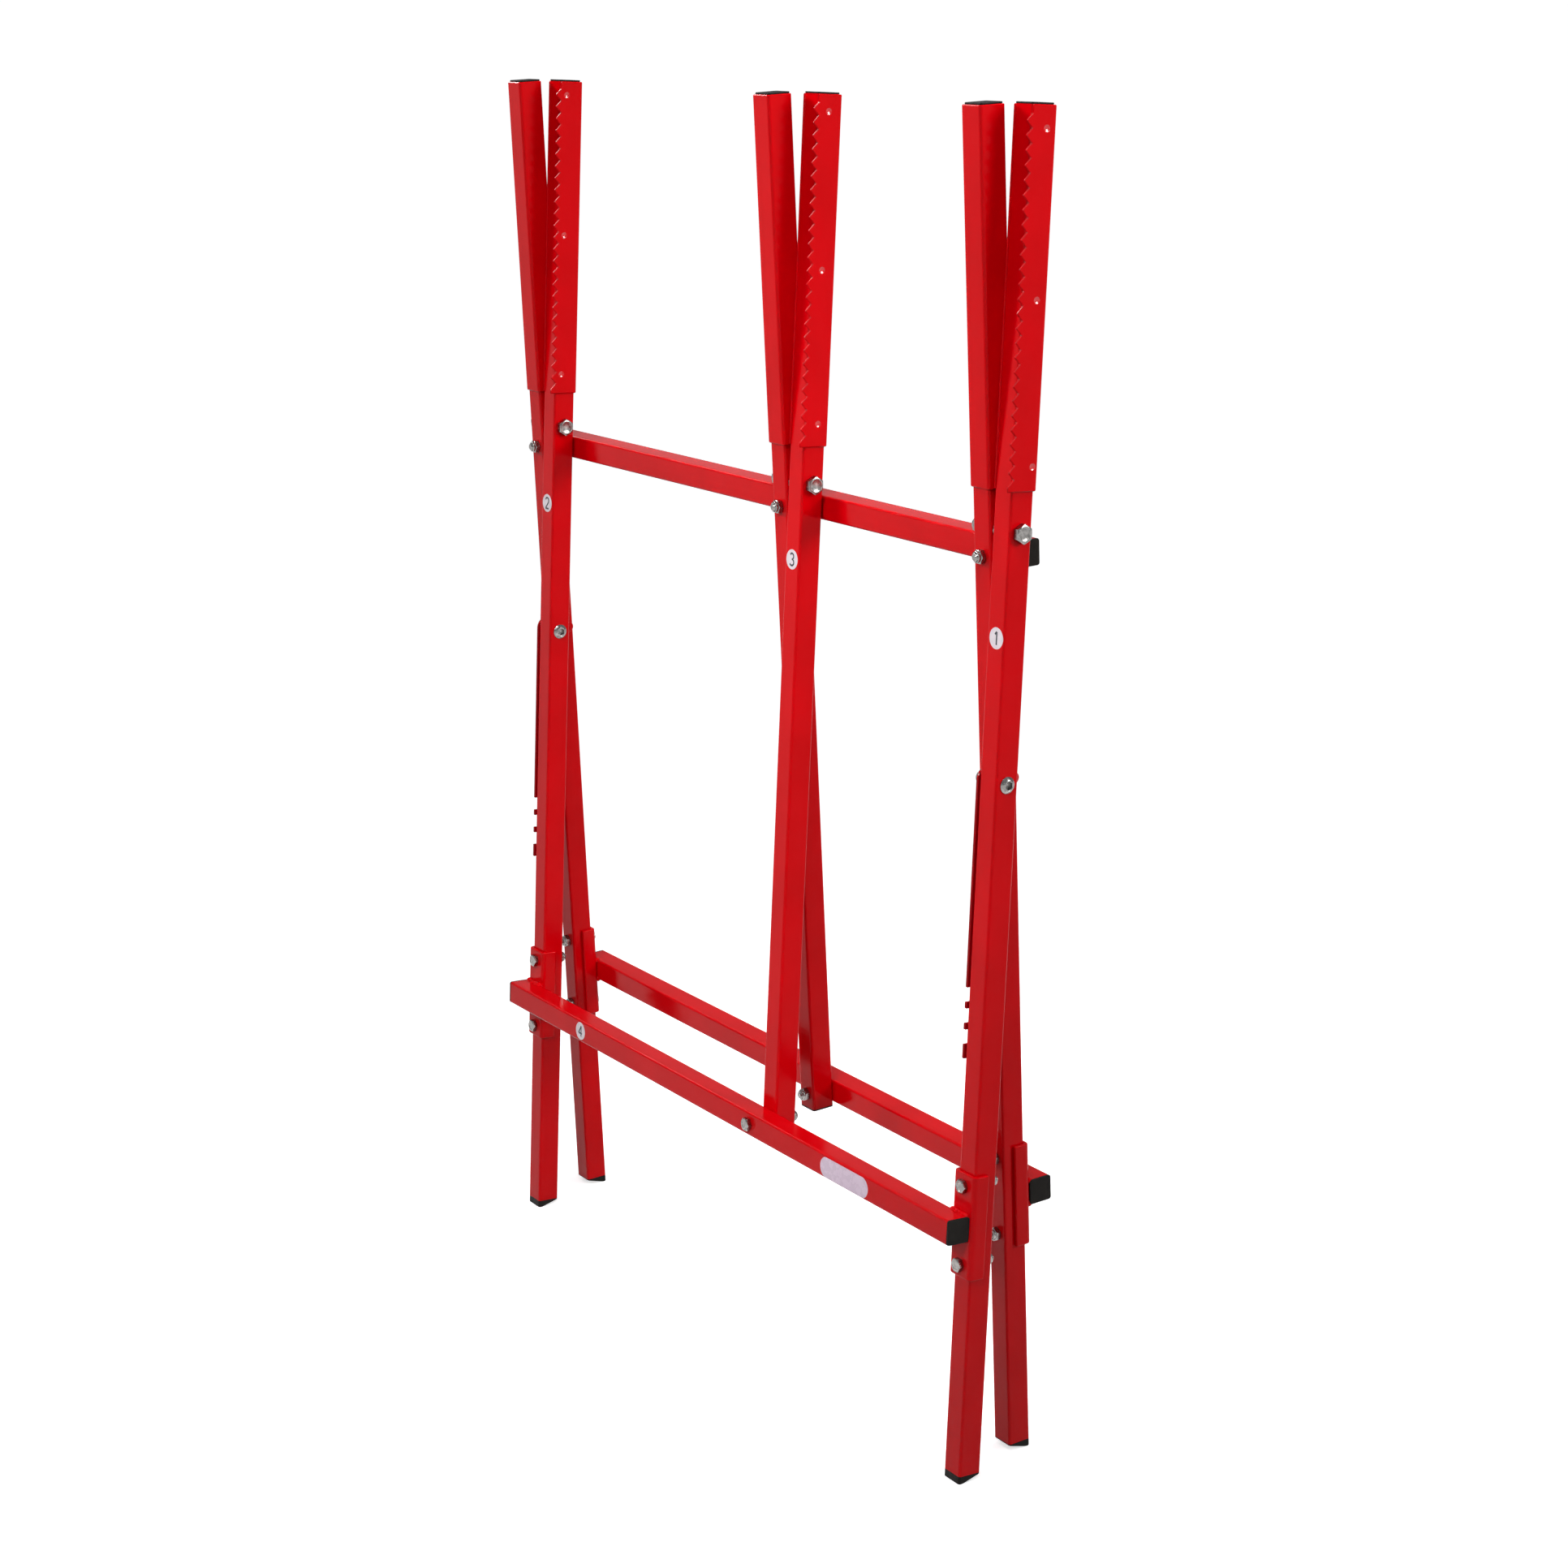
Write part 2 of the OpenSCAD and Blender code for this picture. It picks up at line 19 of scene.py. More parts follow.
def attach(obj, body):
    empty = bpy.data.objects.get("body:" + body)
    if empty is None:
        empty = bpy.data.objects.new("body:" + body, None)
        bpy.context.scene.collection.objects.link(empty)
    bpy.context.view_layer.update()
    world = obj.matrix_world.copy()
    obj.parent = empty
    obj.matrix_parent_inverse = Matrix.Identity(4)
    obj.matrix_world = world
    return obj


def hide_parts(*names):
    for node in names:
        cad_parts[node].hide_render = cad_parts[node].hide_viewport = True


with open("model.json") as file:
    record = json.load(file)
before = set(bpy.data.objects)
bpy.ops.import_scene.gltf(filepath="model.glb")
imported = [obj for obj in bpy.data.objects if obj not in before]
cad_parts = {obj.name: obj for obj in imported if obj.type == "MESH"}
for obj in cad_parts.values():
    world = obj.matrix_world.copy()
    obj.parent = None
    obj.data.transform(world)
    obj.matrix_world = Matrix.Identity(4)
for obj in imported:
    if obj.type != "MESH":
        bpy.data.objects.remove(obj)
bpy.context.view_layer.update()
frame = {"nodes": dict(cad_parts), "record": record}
nodes = frame["nodes"]
MM = 0.001

# %% [markdown]
# ## The camera
# The photograph was taken with a longish lens from the right, a little above the top of the stand.
# A camera can be placed by eye, but the edges of the tubes fix it exactly, so its place and turn
# were solved from them.
# The three rows below are the camera's own right, down and forward directions in the stand's frame.

# %% Camera from the photograph's edges
CAMERA_PLACE = Vector((2.075435, -1.331623, 1.113020))
CAMERA_RIGHT = Vector((0.549255, 0.835653, -0.001705))
CAMERA_DOWN = Vector((0.208906, -0.139285, -0.967966))
CAMERA_FORWARD = Vector((-0.809121, 0.531303, -0.251076))
LENS_MM = 70.4063
SENSOR_MM = 36.0
FAR_CLIP = 5000.0

camera_data = bpy.data.cameras.new("photo_camera")
camera_data.lens = LENS_MM
camera_data.sensor_fit = "HORIZONTAL"
camera_data.sensor_width = SENSOR_MM
camera_data.clip_end = FAR_CLIP
camera = bpy.data.objects.new("photo_camera", camera_data)
camera_turn = Matrix((CAMERA_RIGHT, -CAMERA_DOWN, -CAMERA_FORWARD)).transposed()
camera.matrix_world = Matrix.Translation(CAMERA_PLACE) @ camera_turn.to_4x4()
bpy.context.collection.objects.link(camera)
bpy.context.scene.camera = camera
bpy.context.scene.view_settings.view_transform = "Standard"
print("camera looks along", [round(c, 3) for c in CAMERA_FORWARD], "with a", LENS_MM, "mm lens")

# %% [markdown]
# ## Small helpers for materials
# Every finish here is made of nodes: noise for colour and gloss, and a bump for the fine surface.
# Two effects turn up in several finishes, so each is a node group that is built once and placed
# with its own values.
# The first group, mottle, turns noise into a value that drifts between two ends.
# The second group finds the corners of a piece, where paint is thin and plastic gets rubbed. The
# lighter colour that the finishes lay there is in part a painted highlight along the edges.

# %% Node group: mottle
NOISE_DETAIL = 4.0
NOISE_MIDDLE = (0.32, 0.68)


def add_node(tree, kind, **settings):
    node = tree.nodes.new(kind)
    for key, value in settings.items():
        setattr(node, key, value)
    return node


def group_socket(group, name, way, kind, default=None):
    socket = group.interface.new_socket(name=name, in_out=way, socket_type=kind)
    if default is not None:
        socket.default_value = default


def join(tree, *links):
    """Each link is a node and its output, then a node and its input."""
    for source, output, target, socket in links:
        tree.links.new(source.outputs[output], target.inputs[socket])


mottle = bpy.data.node_groups.new("mottle", "ShaderNodeTree")
group_socket(mottle, "Vector", "INPUT", "NodeSocketVector")
for label, default in (("Scale", 50.0), ("Low", 0.0), ("High", 1.0)):
    group_socket(mottle, label, "INPUT", "NodeSocketFloat", default)
group_socket(mottle, "Value", "OUTPUT", "NodeSocketFloat")
given, result = add_node(mottle, "NodeGroupInput"), add_node(mottle, "NodeGroupOutput")
noise = add_node(mottle, "ShaderNodeTexNoise")
noise.inputs["Detail"].default_value = NOISE_DETAIL
stretch = add_node(mottle, "ShaderNodeMapRange")
stretch.inputs["From Min"].default_value = NOISE_MIDDLE[0]
stretch.inputs["From Max"].default_value = NOISE_MIDDLE[1]
join(mottle,
     (given, "Vector", noise, "Vector"), (given, "Scale", noise, "Scale"),
     (noise, "Fac", stretch, "Value"), (given, "Low", stretch, "To Min"),
     (given, "High", stretch, "To Max"), (stretch, "Result", result, "Value"))
print("node group", mottle.name, "with", len(mottle.nodes), "nodes")

# %% Node group: edge mask for rubbed edges and painted highlight
RUB_SAMPLES = 4

# The mask marks edges, where the finishes lay a lighter colour: partly thin or rubbed coating,
# partly a painted highlight.
edge_rub = bpy.data.node_groups.new("edge_rub", "ShaderNodeTree")
group_socket(edge_rub, "Radius", "INPUT", "NodeSocketFloat", 0.8 * MM)
group_socket(edge_rub, "Gain", "INPUT", "NodeSocketFloat", 4.0)
group_socket(edge_rub, "Mask", "OUTPUT", "NodeSocketFloat")
given, result = add_node(edge_rub, "NodeGroupInput"), add_node(edge_rub, "NodeGroupOutput")
rounded = add_node(edge_rub, "ShaderNodeBevel", samples=RUB_SAMPLES)
surface = add_node(edge_rub, "ShaderNodeNewGeometry")
align = add_node(edge_rub, "ShaderNodeVectorMath", operation="DOT_PRODUCT")
away = add_node(edge_rub, "ShaderNodeMath", operation="SUBTRACT")
away.inputs[0].default_value = 1.0
gained = add_node(edge_rub, "ShaderNodeMath", operation="MULTIPLY", use_clamp=True)
join(edge_rub,
     (given, "Radius", rounded, "Radius"), (rounded, "Normal", align, 0),
     (surface, "Normal", align, 1), (align, "Value", away, 1), (away, "Value", gained, 0),
     (given, "Gain", gained, 1), (gained, "Value", result, "Mask"))
print("node group", edge_rub.name, "with", len(edge_rub.nodes), "nodes")

# %% [markdown]
# ## One recipe for every finish
# A painted, plated or moulded surface is never quite even: its colour drifts in wide patches, its
# gloss in smaller ones, and a fine grain breaks up what it mirrors.
# Pictures could hold all that, but they need unwrapping and show seams. Noise in the piece's own
# coordinates needs neither, so one helper builds every finish from it.

# %% Helper: a finish from two colours, a gloss range and a fine bump
# A Mix node has sockets for each kind of value, and these are the ones for colours.
MIX_A, MIX_B, MIX_RESULT = 6, 7, 2


def finish(name, low, high, patch, gloss, gloss_patch, grain, depth, rub_and_highlight=None, **fixed):
    """Principled material: colours that drift in patches, gloss that drifts, and a grain bump."""
    material = bpy.data.materials.new(name)
    material.use_nodes = True
    tree = material.node_tree
    shader = tree.nodes["Principled BSDF"]
    place = add_node(tree, "ShaderNodeTexCoord")

    def drift(scale, lowest=0.0, highest=1.0):
        node = add_node(tree, "ShaderNodeGroup", node_tree=mottle)
        node.inputs["Scale"].default_value = scale
        node.inputs["Low"].default_value = lowest
        node.inputs["High"].default_value = highest
        join(tree, (place, "Object", node, "Vector"))
        return node.outputs["Value"]

    def blend(amount, first, second):
        node = add_node(tree, "ShaderNodeMix", data_type="RGBA")
        tree.links.new(amount, node.inputs["Factor"])
        for socket, colour in ((node.inputs[MIX_A], first), (node.inputs[MIX_B], second)):
            if isinstance(colour, tuple):
                socket.default_value = (*colour, 1.0)
            else:
                tree.links.new(colour, socket)
        return node.outputs[MIX_RESULT]

    colour = blend(drift(patch), low, high)
    # Lighter colour along the edges: thin or rubbed coating, and in part a painted highlight.
    if rub_and_highlight:
        edge_colour, radius, gain = rub_and_highlight
        edge = add_node(tree, "ShaderNodeGroup", node_tree=edge_rub)
        edge.inputs["Radius"].default_value = radius
        edge.inputs["Gain"].default_value = gain
        colour = blend(edge.outputs["Mask"], colour, edge_colour)
    tree.links.new(colour, shader.inputs["Base Color"])
    tree.links.new(drift(gloss_patch, *gloss), shader.inputs["Roughness"])
    bump = add_node(tree, "ShaderNodeBump")
    bump.inputs["Distance"].default_value = depth
    tree.links.new(drift(grain), bump.inputs["Height"])
    join(tree, (bump, "Normal", shader, "Normal"))
    for socket, value in fixed.items():
        shader.inputs[socket.replace("_", " ")].default_value = value
    return material


print("finishes will use the groups", mottle.name, "and", edge_rub.name)

# %% [markdown]
# ## The finishes
# The tubes, jaws and bars are powder coated: a saturated glossy red with a faint orange peel,
# a millimetre or so across.
# Its faces mirror little here, as the photograph's studio was dark, but cut edges and dents take
# edge_paint, which shines. The spreader bars hang in the shade, so their red is darkened: a painted
# shade.
# Bolts and nuts are bright zinc, caps and feet are moulded black plastic, and the round labels
# are coated paper.
# A noise scale counts features per metre, so a scale of 700 gives lumps of about a millimetre
# and a half.

# %% Red, zinc, black and label finishes
# Each row has two colours, colour patches, roughness from and to, gloss patches, grain and depth.
POWDER_COAT = (
    (0.58, 0.0, 0.002), (0.66, 0.0, 0.003), 18.0, (0.08, 0.15), 70.0, 650.0, 0.02 * MM)
PAINT_IOR, SHINY_IOR, PLASTIC_IOR = 1.16, 1.7, 1.14

# The lighter edge colours below stand partly for thin or rubbed coating and partly for a painted
# highlight.
red_paint = finish(
    "red_paint", *POWDER_COAT, rub_and_highlight=((0.70, 0.004, 0.006), 0.7 * MM, 1.2), IOR=PAINT_IOR)
edge_paint = finish("edge_paint", *POWDER_COAT, IOR=SHINY_IOR)
# The spreader bars' red is darkened as a painted shade, with lighter edges as a painted highlight.
bar_paint = finish(
    "bar_paint", (0.28, 0.0, 0.002), (0.34, 0.0, 0.003),
    25.0, (0.12, 0.2), 90.0, 700.0, 0.02 * MM,
    rub_and_highlight=((0.40, 0.004, 0.006), 0.5 * MM, 1.5), IOR=PAINT_IOR)
zinc_steel = finish(
    "zinc_steel", (0.20, 0.192, 0.185), (0.36, 0.345, 0.33),
    420.0, (0.14, 0.30), 500.0, 1800.0, 0.02 * MM,
    rub_and_highlight=((0.72, 0.71, 0.70), 0.3 * MM, 2.0), Metallic=1.0)
black_plastic = finish(
    "black_plastic", (0.011, 0.010, 0.009), (0.018, 0.016, 0.014),
    120.0, (0.32, 0.5), 300.0, 2600.0, 0.03 * MM,
    rub_and_highlight=((0.03, 0.029, 0.027), 0.6 * MM, 2.0), IOR=PLASTIC_IOR)
label_paper = finish(
    "label_paper", (0.68, 0.61, 0.65), (0.76, 0.68, 0.72),
    160.0, (0.34, 0.46), 300.0, 2200.0, 0.01 * MM)
label_ink = finish(
    "label_ink", (0.012, 0.012, 0.02), (0.03, 0.03, 0.045),
    600.0, (0.4, 0.55), 500.0, 2500.0, 0.01 * MM)
badge_film = finish(
    "badge_film", (0.69, 0.535, 0.665), (0.73, 0.575, 0.70),
    60.0, (0.22, 0.34), 200.0, 1500.0, 0.01 * MM)

BLACK_NODES = [n for n in nodes if "cap" in n or "foot" in n or "plug" in n]
ZINC_NODES = [n for n in nodes if any(w in n for w in ("bolt", "nut", "screw", "spacer"))]
for name, part in nodes.items():
    paint = red_paint
    if name in BLACK_NODES:
        paint = black_plastic
    elif name in ZINC_NODES:
        paint = zinc_steel
    # The spreader bars take the red darkened as a painted shade.
    elif name.startswith("spreader_bar"):
        paint = bar_paint
    for slot in part.material_slots:
        slot.material = paint
print("painted", len(nodes), "nodes:", len(ZINC_NODES), "zinc,", len(BLACK_NODES), "black")

# %% [markdown]
# ## The floor
# The photograph has a white ground with hardly a shadow on it.
# A plain white floor would throw so much light up that the legs would glow from below.
# So the floor is pale to the camera and to reflections, but throws back less light, as a studio
# sweep does.

# %% Floor
FLOOR_SIZE = 3000.0
FLOOR_ROUGHNESS = 0.9
BOUNCE_GREY, SEEN_GREY, SEEN_GLOW = 0.3, 0.97, 0.615


def grey(value):
    return (value, value, value, 1.0)


half = FLOOR_SIZE / 2
floor_mesh = bpy.data.meshes.new("floor")
floor_mesh.from_pydata(
    [(-half, -half, 0), (half, -half, 0), (half, half, 0), (-half, half, 0)], [], [(0, 1, 2, 3)])
floor = bpy.data.objects.new("floor", floor_mesh)
bpy.context.collection.objects.link(floor)
floor_paint = bpy.data.materials.new("floor_paint")
floor_paint.use_nodes = True
tree = floor_paint.node_tree
shader = tree.nodes["Principled BSDF"]
shader.inputs["Roughness"].default_value = FLOOR_ROUGHNESS
shader.inputs["Specular IOR Level"].default_value = 0.0
shader.inputs["Emission Strength"].default_value = 1.0
rays = add_node(tree, "ShaderNodeLightPath")
seen = add_node(tree, "ShaderNodeMath", operation="MAXIMUM")
seen_too = add_node(tree, "ShaderNodeMath", operation="MAXIMUM")
join(tree,
     (rays, "Is Camera Ray", seen, 0), (rays, "Is Glossy Ray", seen, 1),
     (seen, "Value", seen_too, 0), (rays, "Is Transmission Ray", seen_too, 1))
for unseen_grey, seen_grey, socket in (
        (BOUNCE_GREY, SEEN_GREY, "Base Color"), (0.0, SEEN_GLOW, "Emission Color")):
    choice = add_node(tree, "ShaderNodeMix", data_type="RGBA")
    choice.inputs[MIX_A].default_value = grey(unseen_grey)
    choice.inputs[MIX_B].default_value = grey(seen_grey)
    join(tree, (seen_too, "Value", choice, "Factor"), (choice, MIX_RESULT, shader, socket))
floor_mesh.materials.append(floor_paint)
print("floor laid,", FLOOR_SIZE, "metres wide")

# %% [markdown]
# ## The light
# The photograph has soft light from the front left, from above and from the right.
# An even grey world gives most of the light here, and a faint wide sun evens out the floor.
# Softboxes with a narrow spread add the rest, most of it near the top, so that the stand darkens
# towards the feet.
# One of them, low_box, comes from above on the right, so that rails and front legs shade what
# lies behind them.

# %% World and lamps
WORLD_COLOUR = (0.385, 0.385, 0.395, 1.0)
SUN_PLACE, SUN_STRENGTH, SUN_ANGLE = (0.3, -0.7, 3.2), 0.1, 40
LAMP_TARGET = (0.14, 0.0, 1.05)
# Each row has a place, a target, a width, a height, the watts and the spread in degrees.
SOFTBOXES = {
    "top_box": ((0.8, -0.7, 2.6), LAMP_TARGET, 0.8, 0.8, 5.0, 90),
    "left_strip": ((-2.1, -0.07, 2.2), LAMP_TARGET, 0.5, 1.1, 0.9, 30),
    "front_box": ((-3.0, -2.85, 2.55), (0.05, 0.0, 1.15), 0.8, 0.8, 3.15, 22),
    "low_box": ((1.2, -2.55, 2.41), (0.0, 0.0, 0.36), 0.5, 0.5, 0.95, 22),
    "right_box": ((2.3, 1.55, 1.75), LAMP_TARGET, 1.1, 1.1, 5.2, 50),
}


def aimed(lamp, place, target):
    obj = bpy.data.objects.new(lamp.name, lamp)
    obj.location = place
    obj.rotation_mode = "QUATERNION"
    obj.rotation_quaternion = (Vector(target) - Vector(place)).to_track_quat("-Z", "Y")
    bpy.context.collection.objects.link(obj)


world = bpy.data.worlds.new("studio")
world.use_nodes = True
world.node_tree.nodes["Background"].inputs["Color"].default_value = WORLD_COLOUR
bpy.context.scene.world = world
sun = bpy.data.lights.new("overhead", "SUN")
sun.energy = SUN_STRENGTH
sun.angle = math.radians(SUN_ANGLE)
aimed(sun, SUN_PLACE, (0, 0, 0))
for name, (place, target, width, height, watts, spread) in SOFTBOXES.items():
    box = bpy.data.lights.new(name, "AREA")
    box.shape = "RECTANGLE"
    box.size = width
    box.size_y = height
    box.energy = watts
    box.spread = math.radians(spread)
    aimed(box, place, target)
print("stage set: world, sun and", len(SOFTBOXES), "softboxes")

# %% [markdown]
# ## Where the pieces sit
# Each half of the stand has a frame of its own: its origin is the hinge line, and its end legs lie
# along its Z axis.
# The rear half is the front half turned round, and the middle legs lean out a little more to meet
# their rails.
# With these frames a detail can be placed in millimetres along a leg, as a maker would mark it
# with a ruler.

# %% Frames of the halves and legs
HINGE = Vector((2.15, 0.136, 735.389)) * MM
LEAN = math.radians(2.59735)
MIDDLE_EXTRA_LEAN = {"front": math.radians(0.3148), "rear": math.radians(0.3183)}
CROSS_X = {"right": 332.5, "middle": 65.5, "left": -332.5}
LEG_SHIFT = 11.65
LEG_BELOW = 730.0
HALF_TUBE = 10.0
TUBE_CORNER = 2.0
FLAT_HALF = HALF_TUBE - TUBE_CORNER
RAIL_DROP = {"front": 527.0, "rear": 521.0}
RAIL_Y = -23.0


def turned(axis, degrees):
    return Matrix.Rotation(math.radians(degrees), 4, axis)


def moved(x, y, z):
    return Matrix.Translation((x * MM, y * MM, z * MM))


def side_x(side, cross):
    return (CROSS_X[cross] if side == "front" else -CROSS_X[cross]) + LEG_SHIFT


def half_frame(side, extra_lean=0.0):
    about = Matrix.Rotation(0.0 if side == "front" else math.pi, 4, "Z")
    return Matrix.Translation(HINGE) @ about @ Matrix.Rotation(-LEAN - extra_lean, 4, "X")


def leg_frame(side, cross):
    extra = MIDDLE_EXTRA_LEAN[side] if cross == "middle" else 0.0
    return half_frame(side, extra) @ moved(side_x(side, cross), 0, 0)


FORWARD, BACKWARD = turned("X", 90), turned("X", -90)
RIGHTWARD, LEFTWARD = turned("Y", 90), turned("Y", -90)
leg_end = leg_frame("front", "right") @ Vector((0, 0, -LEG_BELOW * MM))
print("front right foot is near", [round(c, 3) for c in leg_end])

# %% [markdown]
# ## Rounded edges
# A CAD edge is perfectly sharp, and nothing painted or moulded is. A fine bevel catches the light
# along each edge.
# The edge could be faked in the material, but a real bevel also shows in the outline and in the
# mesh itself.
# Each CAD piece is copied, its loose triangles are merged, its sharp edges are bevelled, and the
# copy takes its place.
# The brackets are bent from thick sheet, so they are rounded more, and the feet get a rounder sole
# where they stand on the floor.

# %% Helpers: new meshes and stand-ins
SHARP = math.radians(32)


def keep_result(obj):
    """Turns what the modifiers make into the object's own mesh."""
    graph = bpy.context.evaluated_depsgraph_get()
    mesh = bpy.data.meshes.new_from_object(obj.evaluated_get(graph))
    obj.modifiers.clear()
    obj.data = mesh
    return obj


def new_object(name, bm, material):
    mesh = bpy.data.meshes.new(name)
    bm.to_mesh(mesh)
    bm.free()
    mesh.materials.append(material)
    obj = bpy.data.objects.new(name, mesh)
    bpy.context.collection.objects.link(obj)
    return obj


def smooth(obj):
    obj.data.shade_smooth()
    obj.data.set_sharp_from_angle(angle=SHARP)
    return obj


def body_of(node):
    bodies = frame["record"]["behaviour"]["bodies"]
    return next(body for body, members in bodies.items() if node in members)


def stand_in(obj, slot, *replaced):
    """Puts a dressed piece on the body of the CAD pieces that it replaces."""
    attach(obj, body_of(replaced[0]))
    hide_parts(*replaced)


print("the front rail rides on", body_of("front_rail"))

# %% Helpers: rounding
MERGE, SLIVER = 0.001 * MM, 0.002 * MM
FLAT_ANGLE = math.radians(0.5)
SOLE_HEIGHT, SOLE_ROUND, SOLE_SEGMENTS = 0.1 * MM, 0.9 * MM, 4


def copy_of(node, name, material):
    bm = bmesh.new()
    bm.from_mesh(nodes[node].data)
    bmesh.ops.remove_doubles(bm, verts=bm.verts, dist=MERGE)
    bmesh.ops.dissolve_limit(bm, angle_limit=FLAT_ANGLE, verts=bm.verts, edges=bm.edges)
    return new_object(name, bm, material)


def soften(obj, width, segments, edge_slot=-1):
    """Bevels the sharp edges, drops the slivers that this leaves, and evens out the shading."""
    bevel = obj.modifiers.new("round", "BEVEL")
    bevel.material = edge_slot
    bevel.width = width * MM
    bevel.segments = segments
    bevel.limit_method = "ANGLE"
    bevel.angle_limit = SHARP
    bevel.use_clamp_overlap = False
    keep_result(obj)
    bm = bmesh.new()
    bm.from_mesh(obj.data)
    bmesh.ops.dissolve_degenerate(bm, dist=SLIVER, edges=bm.edges)
    bm.to_mesh(obj.data)
    bm.free()
    smooth(obj)
    even = obj.modifiers.new("even", "WEIGHTED_NORMAL")
    even.keep_sharp = True
    return keep_result(obj)


def round_sole(obj):
    """Rounds the rim of a foot where it stands on the floor."""
    bm = bmesh.new()
    bm.from_mesh(obj.data)
    rim = [e for e in bm.edges
           if all(v.co.z < SOLE_HEIGHT for v in e.verts) and e.calc_face_angle(0.0) > SHARP]
    bmesh.ops.bevel(
        bm, geom=rim, offset=SOLE_ROUND, offset_type="OFFSET", segments=SOLE_SEGMENTS,
        profile=0.5, affect="EDGES")
    bm.to_mesh(obj.data)
    bm.free()


print("edges over", round(math.degrees(SHARP)), "degrees count as sharp")

# %% Bevelled copies of CAD pieces
# Each row has a part of the node's name, the bevel's width and segments, the finish and the slot.
BEVELS = [
    ("_bracket_", 1.1, 4, red_paint, "red_paint"),
    # The bars' copies take the red darkened as a painted shade.
    ("spreader_bar_", 0.35, 2, bar_paint, "red_paint"),
    ("hook_pin_", 0.3, 2, red_paint, "red_paint"),
    ("_cap_", 0.45, 2, black_plastic, "black_plastic"),
    ("_foot_", 0.4, 2, black_plastic, "black_plastic"),
    ("_middle_plug", 0.3, 2, black_plastic, "black_plastic"),
]
rounded_count = 0
for part, width, segments, material, slot in BEVELS:
    for node in [n for n in nodes if part in n and "bolt" not in n and "nut" not in n]:
        piece = copy_of(node, node + "_rounded", material)
        if part == "_foot_":
            round_sole(piece)
        stand_in(soften(piece, width, segments), slot, node)
        rounded_count += 1
print("rounded", rounded_count, "brackets, bars, pins, caps and feet")

# %% [markdown]
# ## Toothed jaws
# A jaw is a bent sheet round the top of a leg, with teeth cut along one side. Three punched dents
# fix it to the tube.
# The teeth are in the CAD piece already. A dent could be a bump in the paint, but it then has no
# rim to catch light, so a ball is cut out of the sheet for each dent. A flat chamfer then breaks
# the cut edges of the sheet.
# The upper flanks of the teeth glint in the photograph, so their chamfers take a paint with
# a stronger reflection.
# The dents of the front jaws sit where the photograph shows them, since they were plainly struck
# by hand.

# %% Jaws with struck dents
DENT_BALL = 8.0
DENT_DEPTH = 0.45
BALL_ROUND, BALL_LONG = 32, 64
JAW_FACE = 11.5
JAW_CHAMFER = 0.62
SHINY_SLOT = 1
OUTWARD_ENOUGH, FLANK_ENOUGH = 0.85, 0.6
# Each dent is marked by its distance across the face and its height above the hinge line.
DENTS = {
    ("front", "right"): ((2.7, 283.7), (2.0, 165.4), (6.2, 47.7)),
    ("front", "middle"): ((-1.0, 287.0), (-1.0, 167.0), (1.5, 48.0)),
    ("front", "left"): ((-4.6, 288.5), (-4.6, 168.5), (-4.6, 47.0)),
    ("rear", "right"): ((1.4, 286.0), (0.4, 166.5), (2.2, 47.5)),
    ("rear", "middle"): ((-1.6, 285.0), (0.8, 168.0), (-0.6, 46.5)),
    ("rear", "left"): ((0.6, 287.5), (-2.2, 166.0), (1.8, 48.5)),
}


def dent_balls(leg, dents):
    bm = bmesh.new()
    for y, along in dents:
        place = leg @ moved(JAW_FACE + DENT_BALL - DENT_DEPTH, y, along) @ RIGHTWARD
        bmesh.ops.create_uvsphere(
            bm, u_segments=BALL_ROUND, v_segments=BALL_LONG, radius=DENT_BALL * MM, matrix=place)
    return new_object("dent_balls", bm, edge_paint)


for (side, cross), dents in DENTS.items():
    node = f"{side}_jaw_{cross}"
    leg = leg_frame(side, cross)
    jaw = copy_of(node, node + "_struck", red_paint)
    balls = dent_balls(leg, dents)
    cut = jaw.modifiers.new("dents", "BOOLEAN")
    cut.operation = "DIFFERENCE"
    cut.solver = "EXACT"
    cut.material_mode = "TRANSFER"
    cut.object = balls
    keep_result(jaw)
    bpy.data.objects.remove(balls)
    soften(jaw, JAW_CHAMFER, segments=1, edge_slot=SHINY_SLOT)
    outward = leg.to_3x3() @ Vector((1, 0, 0))
    upper_flank = leg.to_3x3() @ Vector((0, -1, 1)).normalized()
    for face in jaw.data.polygons:
        is_outward = face.normal.dot(outward) >= OUTWARD_ENOUGH
        is_flank = face.normal.dot(upper_flank) >= FLANK_ENOUGH
        if not (is_outward or is_flank):
            face.material_index = 0
    stand_in(jaw, "red_paint", node)
print("struck", sum(len(d) for d in DENTS.values()), "dents into", len(DENTS), "jaws")

# %% [markdown]
# ## Bolts and nuts
# The stand is held by hex bolts and locking nuts: six millimetre ones on the brackets and rails,
# eight on the hinges.
# A hexagon with a thread could be cut out of a cylinder, but cuts leave ragged faces.
# One bolt is instead lofted from rings of points: a threaded end, a plain shank, a washer face and
# a chamfered hex head.

# %% Rings and lofts
RING = 48


def ring_angles():
    return [2 * math.pi * i / RING for i in range(RING)]


def round_ring(radius, z):
    return [Vector((radius * math.cos(a), radius * math.sin(a), z)) for a in ring_angles()]


def hex_ring(across, height):
    """Ring along a hexagon; height is a number, or a function of the radius for a chamfered rim."""
    points = []
    for a in ring_angles():
        r = across / 2 / math.cos(a % (math.pi / 3) - math.pi / 6)
        z = height(r) if callable(height) else height
        points.append(Vector((r * math.cos(a), r * math.sin(a), z)))
    return points


